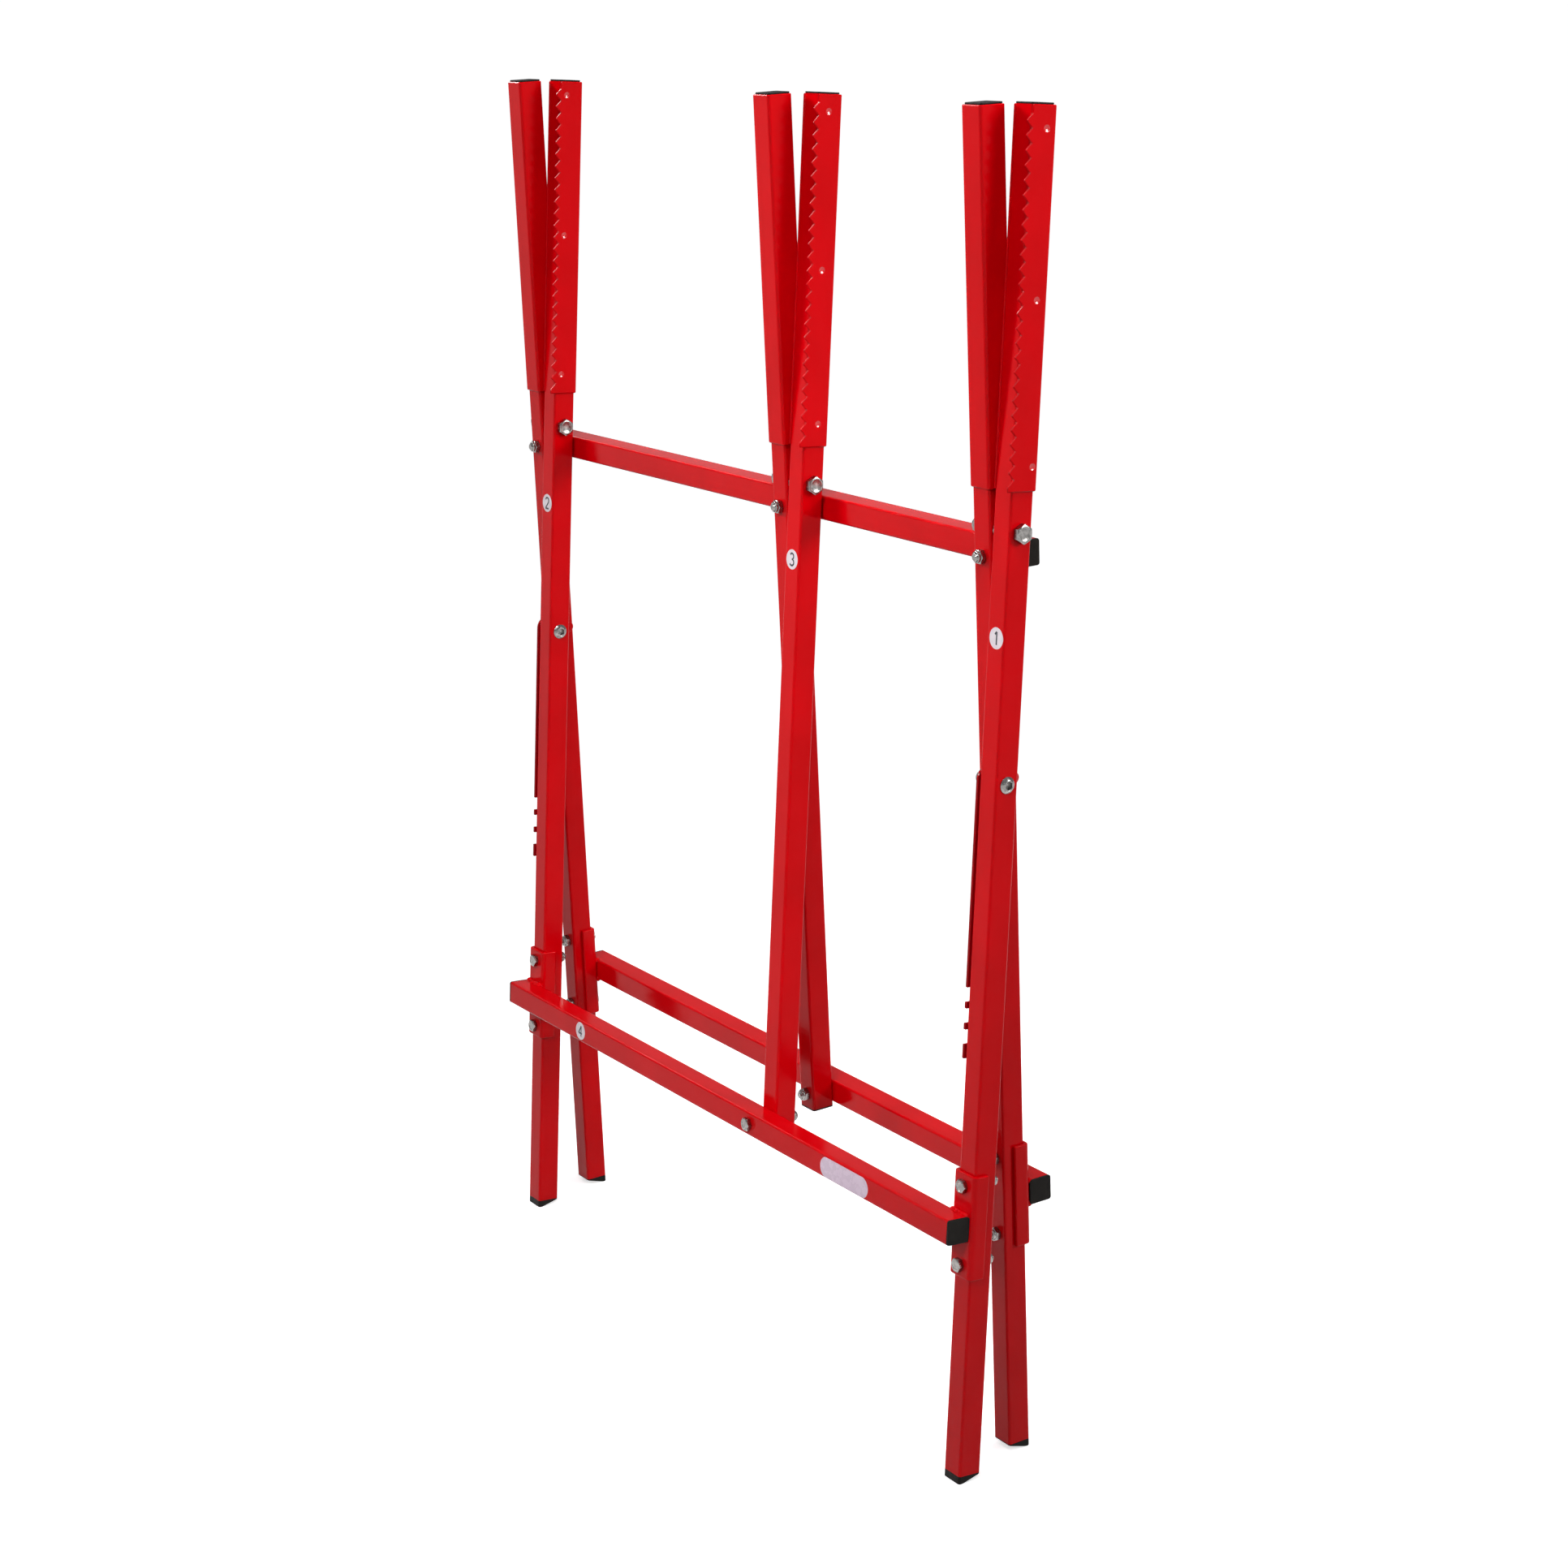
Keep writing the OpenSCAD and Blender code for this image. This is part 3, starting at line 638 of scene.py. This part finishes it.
def loft(name, rings, closed=False):
    """Skin over rings, in millimetres: capped at both ends, or closed like a washer."""
    bm = bmesh.new()
    loops = [[bm.verts.new(p * MM) for p in ring] for ring in rings]
    pairs = list(zip(loops, loops[1:])) + ([(loops[-1], loops[0])] if closed else [])
    for low, high in pairs:
        for i in range(RING):
            j = (i + 1) % RING
            bm.faces.new((low[i], low[j], high[j], high[i]))
    if not closed:
        for loop in (loops[0], loops[-1]):
            tip = bm.verts.new(sum((v.co for v in loop), Vector()) / RING)
            for i in range(RING):
                bm.faces.new((loop[i], loop[(i + 1) % RING], tip))
    bmesh.ops.recalc_face_normals(bm, faces=bm.faces)
    return smooth(new_object(name, bm, zinc_steel))


print("rings have", RING, "points")

# %% Shapes: threaded shank and hex bolt
THREAD_LENGTH = 3.6
THREAD_STEPS = 6
PITCH = {6.0: 1.0, 8.0: 1.25}
# These are shares of the pitch.
TIP_CUT, SHOULDER_CUT, SHOULDER_RISE, THREAD_START, THREAD_DEPTH = 0.8, 0.35, 0.45, 0.5, 0.42
# These are shares of half the width across flats.
FLAT_SHARE, WASHER_SHARE = 0.93, 0.94
WASHER_HEIGHT = 0.3
# The dish in a head has two shares of the flat top, and a depth.
DISH_OUTER, DISH_INNER, DISH_DEPTH = 0.8, 0.72, 0.25
RIM_SLOPE = math.tan(math.radians(30))


def shank_rings(d, length):
    """From the chamfered end up to the seat, with a thread on the last few millimetres."""
    pitch = PITCH[d]
    rings = [round_ring(d / 2 - TIP_CUT * pitch, -length),
             round_ring(d / 2 - SHOULDER_CUT * pitch, SHOULDER_RISE * pitch - length)]
    for k in range(int(THREAD_LENGTH / pitch * THREAD_STEPS)):
        z = THREAD_START * pitch + k * pitch / THREAD_STEPS
        ring = []
        for a in ring_angles():
            wave = 0.5 + 0.5 * math.cos(2 * math.pi * z / pitch - a)
            r = d / 2 - THREAD_DEPTH * pitch * wave
            ring.append(Vector((r * math.cos(a), r * math.sin(a), z - length)))
        rings.append(ring)
    thread_top = THREAD_LENGTH + THREAD_START * pitch - length
    return rings + [round_ring(d / 2, thread_top), round_ring(d / 2, 0)]


def hex_bolt(d, across, head, length):
    flat_top = FLAT_SHARE * across / 2
    washer = WASHER_SHARE * across / 2

    def rim(r):
        return head - max(0.0, r - flat_top) * RIM_SLOPE

    return loft("bolt", shank_rings(d, length) + [
        round_ring(washer, 0), round_ring(washer, WASHER_HEIGHT),
        hex_ring(across, WASHER_HEIGHT), hex_ring(across, rim), round_ring(flat_top, head),
        round_ring(DISH_OUTER * flat_top, head),
        round_ring(DISH_INNER * flat_top, head - DISH_DEPTH),
    ])


print("threads of", sorted(PITCH), "mm have pitches of", sorted(PITCH.values()), "mm")

# %% [markdown]
# A lock nut is a hexagon with a round collar on top, whose lip is rolled over a plastic ring.
# The spreader bars hang on button screws: low domes with a deep hex socket, which stays dark.
# Round spacers keep the crossed legs apart.
# All three could be modelled with cuts, but as rings they take the same loft as the bolt.

# %% Shapes: lock nut, button screw and spacer
NUT_HEX_SHARE, COLLAR_SHARE = 0.7, 0.44
NUT_PLAY = 0.06
COLLAR_EDGE, COLLAR_STEP_IN, COLLAR_STEP_DOWN = 0.7, 0.2, 0.25
LIP_WIDTH, LIP_DEPTH = 0.55, 0.5
SCREW_RIM_SHARE, DOME_STEPS = 0.2, 6
SOCKET_EDGE, SOCKET_BREAK, SOCKET_FLOOR, SOCKET_CONE = 0.35, 0.15, -0.8, 0.5
SEAT_BREAK, TIP_RADIUS = 0.3, 0.3
SPACER_BREAK = 0.4


def lock_nut(d, across, height):
    hex_height = NUT_HEX_SHARE * height
    flat_top, collar, bore = FLAT_SHARE * across / 2, COLLAR_SHARE * across, d / 2 + NUT_PLAY

    def rim(r):
        return hex_height - max(0.0, r - flat_top) * RIM_SLOPE

    def foot(r):
        return max(0.0, r - flat_top) * RIM_SLOPE

    return loft("nut", [
        round_ring(bore, 0), round_ring(flat_top, 0), hex_ring(across, foot), hex_ring(across, rim),
        round_ring(flat_top, hex_height), round_ring(collar, hex_height),
        round_ring(collar, height - COLLAR_EDGE),
        round_ring(collar - COLLAR_STEP_IN, height - COLLAR_STEP_DOWN),
        round_ring(collar - COLLAR_EDGE, height),
        round_ring(bore + LIP_WIDTH, height), round_ring(bore, height - LIP_DEPTH),
    ], closed=True)


def button_screw(d, head_d, head, socket, length):
    crown = head - SCREW_RIM_SHARE * head
    dome = (head_d * head_d / 4 + crown ** 2) / (2 * crown)
    edge = socket / 2 / math.cos(math.pi / 6) + SOCKET_EDGE
    rings = []
    for step in range(DOME_STEPS + 1):
        r = head_d / 2 + (edge - head_d / 2) * step / DOME_STEPS
        rings.append(round_ring(r, head - dome + math.sqrt(dome * dome - r * r)))
    top = rings[-1][0].z
    seat = [round_ring(head_d / 2 - SEAT_BREAK, 0), round_ring(head_d / 2, SEAT_BREAK)]
    return loft("screw", shank_rings(d, length) + seat + rings + [
        hex_ring(socket, top - SOCKET_BREAK), hex_ring(socket, SOCKET_FLOOR),
        round_ring(TIP_RADIUS, SOCKET_FLOOR - SOCKET_CONE)])


def spacer(bore, width, height):
    return loft("spacer", [
        round_ring(bore, 0),
        round_ring(width / 2 - SPACER_BREAK, 0), round_ring(width / 2, SPACER_BREAK),
        round_ring(width / 2, height - SPACER_BREAK), round_ring(width / 2 - SPACER_BREAK, height),
        round_ring(bore, height),
    ], closed=True)


print("a lock nut is hexagonal for", NUT_HEX_SHARE, "of its height")

# %% [markdown]
# ## Setting the fasteners
# The stand has thirty-nine bolts, screws, nuts and spacers. Copying them by hand would be slow,
# so a Geometry Nodes tree sets one on every marked point.
# Each point carries its own turn as a rotation, and the tree ends in Realize Instances, so that
# the export keeps them.

# %% Geometry tree: a fastener on every marked point
def new_tree(name, *inputs):
    """Empty geometry tree with named inputs, and its two ends."""
    tree = bpy.data.node_groups.new(name, "GeometryNodeTree")
    group_socket(tree, "Geometry", "INPUT", "NodeSocketGeometry")
    for label, kind, default in inputs:
        group_socket(tree, label, "INPUT", kind, default)
    group_socket(tree, "Geometry", "OUTPUT", "NodeSocketGeometry")
    return tree, add_node(tree, "NodeGroupInput"), add_node(tree, "NodeGroupOutput")


set_fasteners, given, result = new_tree(
    "set_fasteners", ("Fastener", "NodeSocketObject", None), ("Size", "NodeSocketFloat", 1.0),
    ("Finish", "NodeSocketMaterial", None))
shape = add_node(set_fasteners, "GeometryNodeObjectInfo")
turn_value = add_node(set_fasteners, "GeometryNodeInputNamedAttribute", data_type="QUATERNION")
turn_value.inputs["Name"].default_value = "turn"
copies = add_node(set_fasteners, "GeometryNodeInstanceOnPoints")
solid = add_node(set_fasteners, "GeometryNodeRealizeInstances")
coat = add_node(set_fasteners, "GeometryNodeSetMaterial")
join(set_fasteners,
     (given, "Fastener", shape, "Object"), (given, "Geometry", copies, "Points"),
     (shape, "Geometry", copies, "Instance"), (turn_value, "Attribute", copies, "Rotation"),
     (given, "Size", copies, "Scale"), (copies, "Instances", solid, "Geometry"),
     (solid, "Geometry", coat, "Geometry"), (given, "Finish", coat, "Material"),
     (coat, "Geometry", result, "Geometry"))
print("tree", set_fasteners.name, "with", len(set_fasteners.nodes), "nodes")


# %% Helpers: running a tree and setting fasteners
def grow(name, mesh, tree, **values):
    """Runs a geometry tree on a mesh and keeps the result as a plain mesh."""
    obj = bpy.data.objects.new(name, mesh)
    modifier = obj.modifiers.new("grow", "NODES")
    modifier.node_group = tree
    for item in tree.interface.items_tree:
        if item.in_out == "INPUT" and item.name in values:
            modifier[item.identifier] = values[item.name]
    bpy.context.collection.objects.link(obj)
    return keep_result(obj)


def fasten(name, fastener, places, *replaced):
    """Sets a fastener at every place, as one mesh that stands in for all its CAD pieces."""
    points = bpy.data.meshes.new(name)
    points.from_pydata([p.to_translation() for p in places], [], [])
    turns = points.attributes.new("turn", "QUATERNION", "POINT")
    for i, place in enumerate(places):
        turns.data[i].value = place.to_quaternion()
    done = grow(name, points, set_fasteners, Fastener=fastener, Size=1.0, Finish=zinc_steel)
    bpy.data.objects.remove(fastener)
    stand_in(done, "zinc_steel", *replaced)


print("fasteners will be", zinc_steel.name)

# %% [markdown]
# The places of the fasteners repeat the CAD model's: two bolts on each bracket, one through each
# middle leg, three through the upper rail, three hinge bolts with spacers, and a button screw for
# each spreader bar.
# Sets that move together and share a shape become one mesh, which stands in for all its CAD pieces.
# A nut stops at whatever turn it is tight, so the nuts on the brackets and middle legs have turns
# of their own. They also keep their flats from mirroring a lamp straight at the camera.

# %% Six millimetre bolts and nuts
BOLT_STEP = 31.5
BRACKET_SHEET = 3.0
UPPER_DROP, UPPER_Y = 20.0, -20.2167
MIDDLE_SEAT = {"front": 7.2046, "rear": 7.2059}
THREAD_END, SEAT_PLAY = 1.5, 0.05
# Thread, width across flats, and height of the head or nut.
M6_BOLT, M6_NUT = (6.0, 10.0, 4.0), (6.0, 10.0, 6.0)
M6_END = M6_NUT[2] + THREAD_END
NUT_TURNS = (26.0, 20.0, 34.0, 28.0)
MIDDLE_NUT_TURN = 24.0


def bracket_places(side):
    return [leg_frame(side, cross) @ moved(0, 0, way * BOLT_STEP - RAIL_DROP[side])
            for cross in ("right", "left") for way in (-1, 1)]


upper_places = [
    half_frame("rear") @ moved(side_x("rear", cross), 0, -UPPER_DROP) for cross in CROSS_X]
for side in ("front", "rear"):
    web = -HALF_TUBE - BRACKET_SHEET
    middle = half_frame(side) @ moved(side_x(side, "middle"), 0, -RAIL_DROP[side])
    fasten(
        f"{side}_bracket_bolt_set", hex_bolt(*M6_BOLT, BRACKET_SHEET + 2 * HALF_TUBE + M6_END),
        [p @ moved(0, web, 0) @ FORWARD for p in bracket_places(side)], f"{side}_bracket_bolts")
    fasten(
        f"{side}_middle_bolt_set",
        hex_bolt(*M6_BOLT, MIDDLE_SEAT[side] - RAIL_Y + HALF_TUBE + M6_END),
        [middle @ moved(0, RAIL_Y - HALF_TUBE, 0) @ FORWARD], f"{side}_middle_bolt")
    nut_places = [p @ moved(0, HALF_TUBE, 0) @ BACKWARD @ turned("Z", turn)
                  for p, turn in zip(bracket_places(side), NUT_TURNS)]
    nut_places.append(
        middle @ moved(0, MIDDLE_SEAT[side], 0) @ BACKWARD @ turned("Z", MIDDLE_NUT_TURN))
    nut_nodes = [f"{side}_bracket_nuts", f"{side}_middle_nut"]
    if side == "rear":
        nut_places += [p @ moved(0, HALF_TUBE + SEAT_PLAY, 0) @ BACKWARD for p in upper_places]
        nut_nodes.append("upper_rail_nuts")
    fasten(f"{side}_nut_set", lock_nut(*M6_NUT), nut_places, *nut_nodes)
fasten(
    "upper_rail_bolt_set", hex_bolt(*M6_BOLT, 2 * HALF_TUBE + SEAT_PLAY - UPPER_Y + M6_END),
    [p @ moved(0, UPPER_Y - HALF_TUBE, 0) @ FORWARD for p in upper_places], "upper_rail_bolts")
print("six millimetre bolts and nuts set")

# %% Hinge bolts, spacers and spreader screws
LEG_GAP, TURN_PLAY = 3.3, 0.1
SPREADER_DROP = 185.0
BAR_REACH = 2.9
M8_BOLT, M8_NUT = (8.0, 13.0, 5.3), (8.0, 13.0, 8.0)
M8_END = TURN_PLAY + M8_NUT[2] + THREAD_END
# Thread, width and height of the head, and width of the socket.
SPREADER_SCREW = (8.0, 12.8, 3.4, 6.0)
SPACER_BORE, SPACER_WIDTH = 4.06, 16.0

hinges = [leg_frame("front", cross) for cross in CROSS_X]
pivots = [leg_frame("front", cross) @ moved(0, 0, -SPREADER_DROP) for cross in ("right", "left")]
bar_turn = turned("X", 2 * math.degrees(LEAN))
fasten(
    "hinge_bolt_set", hex_bolt(*M8_BOLT, 4 * HALF_TUBE + LEG_GAP + M8_END),
    [h @ moved(HALF_TUBE, 0, 0) @ RIGHTWARD for h in hinges], "pivot_bolts")
fasten(
    "hinge_nut_set", lock_nut(*M8_NUT),
    [h @ moved(-3 * HALF_TUBE - LEG_GAP - TURN_PLAY, 0, 0) @ LEFTWARD for h in hinges],
    "pivot_nuts")
fasten(
    "hinge_spacer_set", spacer(SPACER_BORE, SPACER_WIDTH, LEG_GAP - TURN_PLAY),
    [h @ moved(-HALF_TUBE, 0, 0) @ LEFTWARD for h in hinges], "pivot_spacers")
fasten(
    "spreader_screw_set", button_screw(*SPREADER_SCREW, 2 * HALF_TUBE + BAR_REACH + M8_END),
    [p @ moved(HALF_TUBE, 0, 0) @ RIGHTWARD for p in pivots],
    "spreader_screw_right", "spreader_screw_left")
fasten(
    "spreader_nut_set", lock_nut(*M8_NUT),
    [p @ moved(-HALF_TUBE - BAR_REACH - TURN_PLAY, 0, 0) @ bar_turn @ LEFTWARD for p in pivots],
    "spreader_nut_right", "spreader_nut_left")
print("hinges and spreader screws set")

# %% [markdown]
# ## Weld beads
# The lower rails are welded to their brackets, and the beads are painted over, so they show as
# lumpy red ridges.
# A bead is a row of overlapping drops along a path. A Geometry Nodes tree lays a drop at every
# step of the path, each a little different, and a voxel remesh then fuses the drops into one
# closed skin.
# The same tree lays a finer ring of weld round the root of each hook pin.

# %% Geometry tree: drops along a path
DROP_SUBDIVISIONS = 3
DROP_SIZES = (0.78, 1.16)
# A Random Value node has sockets for each kind of value, and these are the ones for floats.
RANDOM_MIN, RANDOM_MAX, RANDOM_VALUE = 2, 3, 1

lay_bead, given, result = new_tree(
    "lay_bead", ("Step", "NodeSocketFloat", 1.5 * MM), ("Drop", "NodeSocketFloat", 2.4 * MM),
    ("Seed", "NodeSocketInt", 4), ("Finish", "NodeSocketMaterial", None))
path = add_node(lay_bead, "GeometryNodeMeshToCurve")
steps = add_node(lay_bead, "GeometryNodeResampleCurve", mode="LENGTH")
drop = add_node(lay_bead, "GeometryNodeMeshIcoSphere")
drop.inputs["Subdivisions"].default_value = DROP_SUBDIVISIONS
uneven = add_node(lay_bead, "FunctionNodeRandomValue", data_type="FLOAT")
uneven.inputs[RANDOM_MIN].default_value = DROP_SIZES[0]
uneven.inputs[RANDOM_MAX].default_value = DROP_SIZES[1]
copies = add_node(lay_bead, "GeometryNodeInstanceOnPoints")
solid = add_node(lay_bead, "GeometryNodeRealizeInstances")
coat = add_node(lay_bead, "GeometryNodeSetMaterial")
join(lay_bead,
     (given, "Geometry", path, "Mesh"), (path, "Curve", steps, "Curve"),
     (given, "Step", steps, "Length"), (given, "Drop", drop, "Radius"),
     (given, "Seed", uneven, "Seed"), (uneven, RANDOM_VALUE, copies, "Scale"),
     (steps, "Curve", copies, "Points"), (drop, "Mesh", copies, "Instance"),
     (copies, "Instances", solid, "Geometry"), (solid, "Geometry", coat, "Geometry"),
     (given, "Finish", coat, "Material"), (coat, "Geometry", result, "Geometry"))
print("tree", lay_bead.name, "with", len(lay_bead.nodes), "nodes")


# %% Helper: one bead
def bead(name, paths, step, size, fine, seed, body):
    """Lays drops along lines or rings of points, and fuses them; sizes are in millimetres."""
    mesh = bpy.data.meshes.new(name)
    points, edges = [], []
    for path_points, is_ring in paths:
        first = len(points)
        points += path_points
        edges += [(i, i + 1) for i in range(first, len(points) - 1)]
        if is_ring:
            edges.append((len(points) - 1, first))
    mesh.from_pydata(points, edges, [])
    done = grow(name, mesh, lay_bead, Step=step * MM, Drop=size * MM, Seed=seed, Finish=red_paint)
    fuse = done.modifiers.new("fuse", "REMESH")
    fuse.mode = "VOXEL"
    fuse.voxel_size = fine * MM
    keep_result(done)
    done.data.materials.clear()
    done.data.materials.append(red_paint)
    done.data.shade_smooth()
    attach(done, body)
    return done


print("beads will be", red_paint.name)

# %% Rail welds and pin welds
# Step between drops, size of a drop and size of a voxel.
RAIL_BEAD, PIN_BEAD = (3.0, 2.7, 0.4), (0.9, 0.62, 0.2)
FIRST_RAIL_SEED, PIN_SEED = 3, 11
RAIL_REACH = {-1: 13.0, 1: 10.0}
WELD_HALF = 11.0
WELD_INSET = 0.6
WELD_END = 3.3
PIN_RADIUS = 5.0

weld_faces = 0
for seed, side in enumerate(("front", "rear"), start=FIRST_RAIL_SEED):
    paths = []
    for cross in ("right", "left"):
        end = 1 if (cross == "right") == (side == "front") else -1
        reach = {end: min(WELD_HALF, RAIL_REACH[end] - WELD_END), -end: WELD_HALF}
        for way in (-1, 1):
            base = half_frame(side) @ moved(
                side_x(side, cross), -HALF_TUBE - BRACKET_SHEET - WELD_INSET,
                way * (HALF_TUBE - WELD_INSET) - RAIL_DROP[side])
            line = [base @ Vector((x * MM, 0, 0)) for x in (-reach[-1], reach[1])]
            paths.append((line, False))
    weld = bead(f"{side}_rail_welds", paths, *RAIL_BEAD, seed, f"{side}_frame")
    weld_faces += len(weld.data.polygons)
pin_paths = []
for cross in ("right", "left"):
    base = leg_frame("rear", cross) @ moved(-HALF_TUBE, 0, -SPREADER_DROP)
    circle = [Vector((0, PIN_RADIUS * math.cos(a) * MM, PIN_RADIUS * math.sin(a) * MM))
              for a in ring_angles()]
    pin_paths.append(([base @ point for point in circle], True))
bead("hook_pin_welds", pin_paths, *PIN_BEAD, PIN_SEED, "rear_frame")
print("welds laid:", weld_faces, "faces on the lower rails")

# %% [markdown]
# ## Labels
# Round paper labels number the places where the parts go together, and a bare film badge sits on
# the front rail.
# Each is a thin film of rings that follows the rounded corner of its tube. A flat disc would hang
# in the air there.

# %% Films that follow a tube
FILM = 0.12
FILM_RIM_SHARE = 0.35
RING_SHARES = (1.0, 0.985, 0.94, 0.86, 0.7, 0.45, 0.2)


def wrapped(x, y, height, shift, across):
    """Height of a point on a tube's face, which falls away round the tube's corner."""
    past = min(abs((x if across == "x" else y) + shift) - FLAT_HALF, TUBE_CORNER)
    fall = TUBE_CORNER - math.sqrt(TUBE_CORNER ** 2 - past ** 2) if past > 0 else 0.0
    return Vector((x, y, height - fall)) * MM


def film(name, outline, shift, across, material, place):
    bm = bmesh.new()
    rings = []
    for share in RING_SHARES:
        height = FILM if share < 1.0 else FILM_RIM_SHARE * FILM
        rings.append([bm.verts.new(wrapped(x * share, y * share, height, shift, across))
                      for x, y in outline])
    under = [bm.verts.new(wrapped(x, y, 0.0, shift, across)) for x, y in outline]
    count = len(outline)
    for low, high in zip([under] + rings, rings):
        for i in range(count):
            j = (i + 1) % count
            bm.faces.new((low[i], low[j], high[j], high[i]))
    bm.faces.new(rings[-1])
    bm.faces.new(list(reversed(under)))
    bmesh.ops.recalc_face_normals(bm, faces=bm.faces)
    bm.transform(place)
    return smooth(new_object(name, bm, material))


print("films are", FILM, "mm thick")

# %% [markdown]
# The labels carry the plain numbers 1 to 4, printed in dark ink.
# The numerals could be font curves, but a plain pen line is closer, so a tree draws each one as
# strokes along a path. The strokes are then pressed flat, to little more than a film of ink.

# %% Geometry tree: a pen stroke along a path
PEN_SIDES = 8

draw_stroke, given, result = new_tree(
    "draw_stroke", ("Pen", "NodeSocketFloat", 0.5 * MM), ("Finish", "NodeSocketMaterial", None))
path = add_node(draw_stroke, "GeometryNodeMeshToCurve")
pen = add_node(draw_stroke, "GeometryNodeCurvePrimitiveCircle")
pen.inputs["Resolution"].default_value = PEN_SIDES
stroke = add_node(draw_stroke, "GeometryNodeCurveToMesh")
stroke.inputs["Fill Caps"].default_value = True
solid = add_node(draw_stroke, "GeometryNodeRealizeInstances")
coat = add_node(draw_stroke, "GeometryNodeSetMaterial")
join(draw_stroke,
     (given, "Geometry", path, "Mesh"), (path, "Curve", stroke, "Curve"),
     (given, "Pen", pen, "Radius"), (pen, "Curve", stroke, "Profile Curve"),
     (stroke, "Mesh", solid, "Geometry"), (solid, "Geometry", coat, "Geometry"),
     (given, "Finish", coat, "Material"), (coat, "Geometry", result, "Geometry"))
print("tree", draw_stroke.name, "with", len(draw_stroke.nodes), "nodes")

# %% Numerals as pen strokes
ARC_STEPS = 14
NUMERAL_HEIGHT = 9.7
PEN_WIDTH = 1.6
INK_THICKNESS = 0.1


def arc(centre, radii, start, stop, steps=ARC_STEPS):
    """Points along part of an ellipse, from one angle to another, in degrees."""
    points = []
    for i in range(steps + 1):
        a = math.radians(start + (stop - start) * i / steps)
        points.append((centre[0] + radii[0] * math.cos(a), centre[1] + radii[1] * math.sin(a)))
    return points


# The strokes are drawn for a numeral one unit tall.
STROKES = {
    "1": [[(-0.17, 0.29), (0.05, 0.5)], [(0.05, 0.5), (0.05, -0.5)]],
    "2": [arc((0.0, 0.23), (0.28, 0.27), 165, -38), [(0.22, 0.06), (-0.28, -0.5)],
          [(-0.28, -0.5), (0.3, -0.5)]],
    "3": [arc((-0.02, 0.26), (0.26, 0.24), 150, -90), arc((-0.02, -0.24), (0.3, 0.26), 90, -150)],
    "4": [[(0.14, -0.5), (0.14, 0.5)], [(0.14, 0.5), (-0.3, -0.2)], [(-0.3, -0.2), (0.32, -0.2)]],
}


def numeral(name, digit, place):
    points, edges = [], []
    for line in STROKES[digit]:
        first = len(points)
        points += [(x * NUMERAL_HEIGHT * MM, y * NUMERAL_HEIGHT * MM, 0.0) for x, y in line]
        edges += [(i, i + 1) for i in range(first, len(points) - 1)]
    mesh = bpy.data.meshes.new(name)
    mesh.from_pydata(points, edges, [])
    obj = grow(name, mesh, draw_stroke, Pen=PEN_WIDTH / 2 * MM, Finish=label_ink)
    flat = Matrix.Diagonal((1.0, 1.0, INK_THICKNESS / PEN_WIDTH, 1.0))
    obj.data.transform(place @ moved(0, 0, FILM) @ flat)
    return obj


print("strokes drawn for", ", ".join(STROKES))

# %% [markdown]
# Three labels sit on the front legs, a little below the hinge line, and the fourth near the left
# end of the front rail. The badge is a pill near the rail's right end.
# Their places were read from the photograph, and each one rides on the front half with its tube.

# %% Numbered labels and the bare badge
LABEL_RADIUS = 8.0
DISC_POINTS = 64
BADGE_LENGTH, BADGE_HEIGHT, BADGE_SINK = 66.0, 17.0, -0.7
BADGE_FROM_RIGHT = 128
PILL_STEPS = 24

rail_left = half_frame("front") @ moved(
    side_x("front", "left"), RAIL_Y - HALF_TUBE, -RAIL_DROP["front"])
# Each row has a place, its distance from the middle of the tube, and the way across the tube.
LABELS = {
    "1": (leg_frame("front", "right") @ moved(0.9, -HALF_TUBE, -77), 0.9, "x"),
    "2": (leg_frame("front", "left") @ moved(0, -HALF_TUBE, -69), 0.0, "x"),
    "3": (leg_frame("front", "middle") @ moved(0, -HALF_TUBE, -60), 0.0, "x"),
    "4": (rail_left @ moved(120, 0, 0), 0.0, "y"),
}
disc = []
for i in range(DISC_POINTS):
    a = 2 * math.pi * i / DISC_POINTS
    disc.append((LABEL_RADIUS * math.cos(a), LABEL_RADIUS * math.sin(a)))
for digit, (place, shift, across) in LABELS.items():
    place = place @ FORWARD
    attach(film("label_" + digit, disc, shift, across, label_paper, place), "front_frame")
    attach(numeral("numeral_" + digit, digit, place), "front_frame")

end = BADGE_LENGTH / 2 - BADGE_HEIGHT / 2
pill = []
for centre, start in ((end, -90), (-end, 90)):
    for step in range(PILL_STEPS + 1):
        a = math.radians(start + 180 * step / PILL_STEPS)
        pill.append((centre + BADGE_HEIGHT / 2 * math.cos(a), BADGE_HEIGHT / 2 * math.sin(a)))
badge_x = side_x("front", "right") - side_x("front", "left") - BADGE_FROM_RIGHT
badge_place = rail_left @ moved(badge_x, 0, BADGE_SINK) @ FORWARD
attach(film("bare_badge", pill, BADGE_SINK, "y", badge_film, badge_place), "front_frame")
print("labels:", len(LABELS), "and a bare badge", BADGE_LENGTH, "mm long")
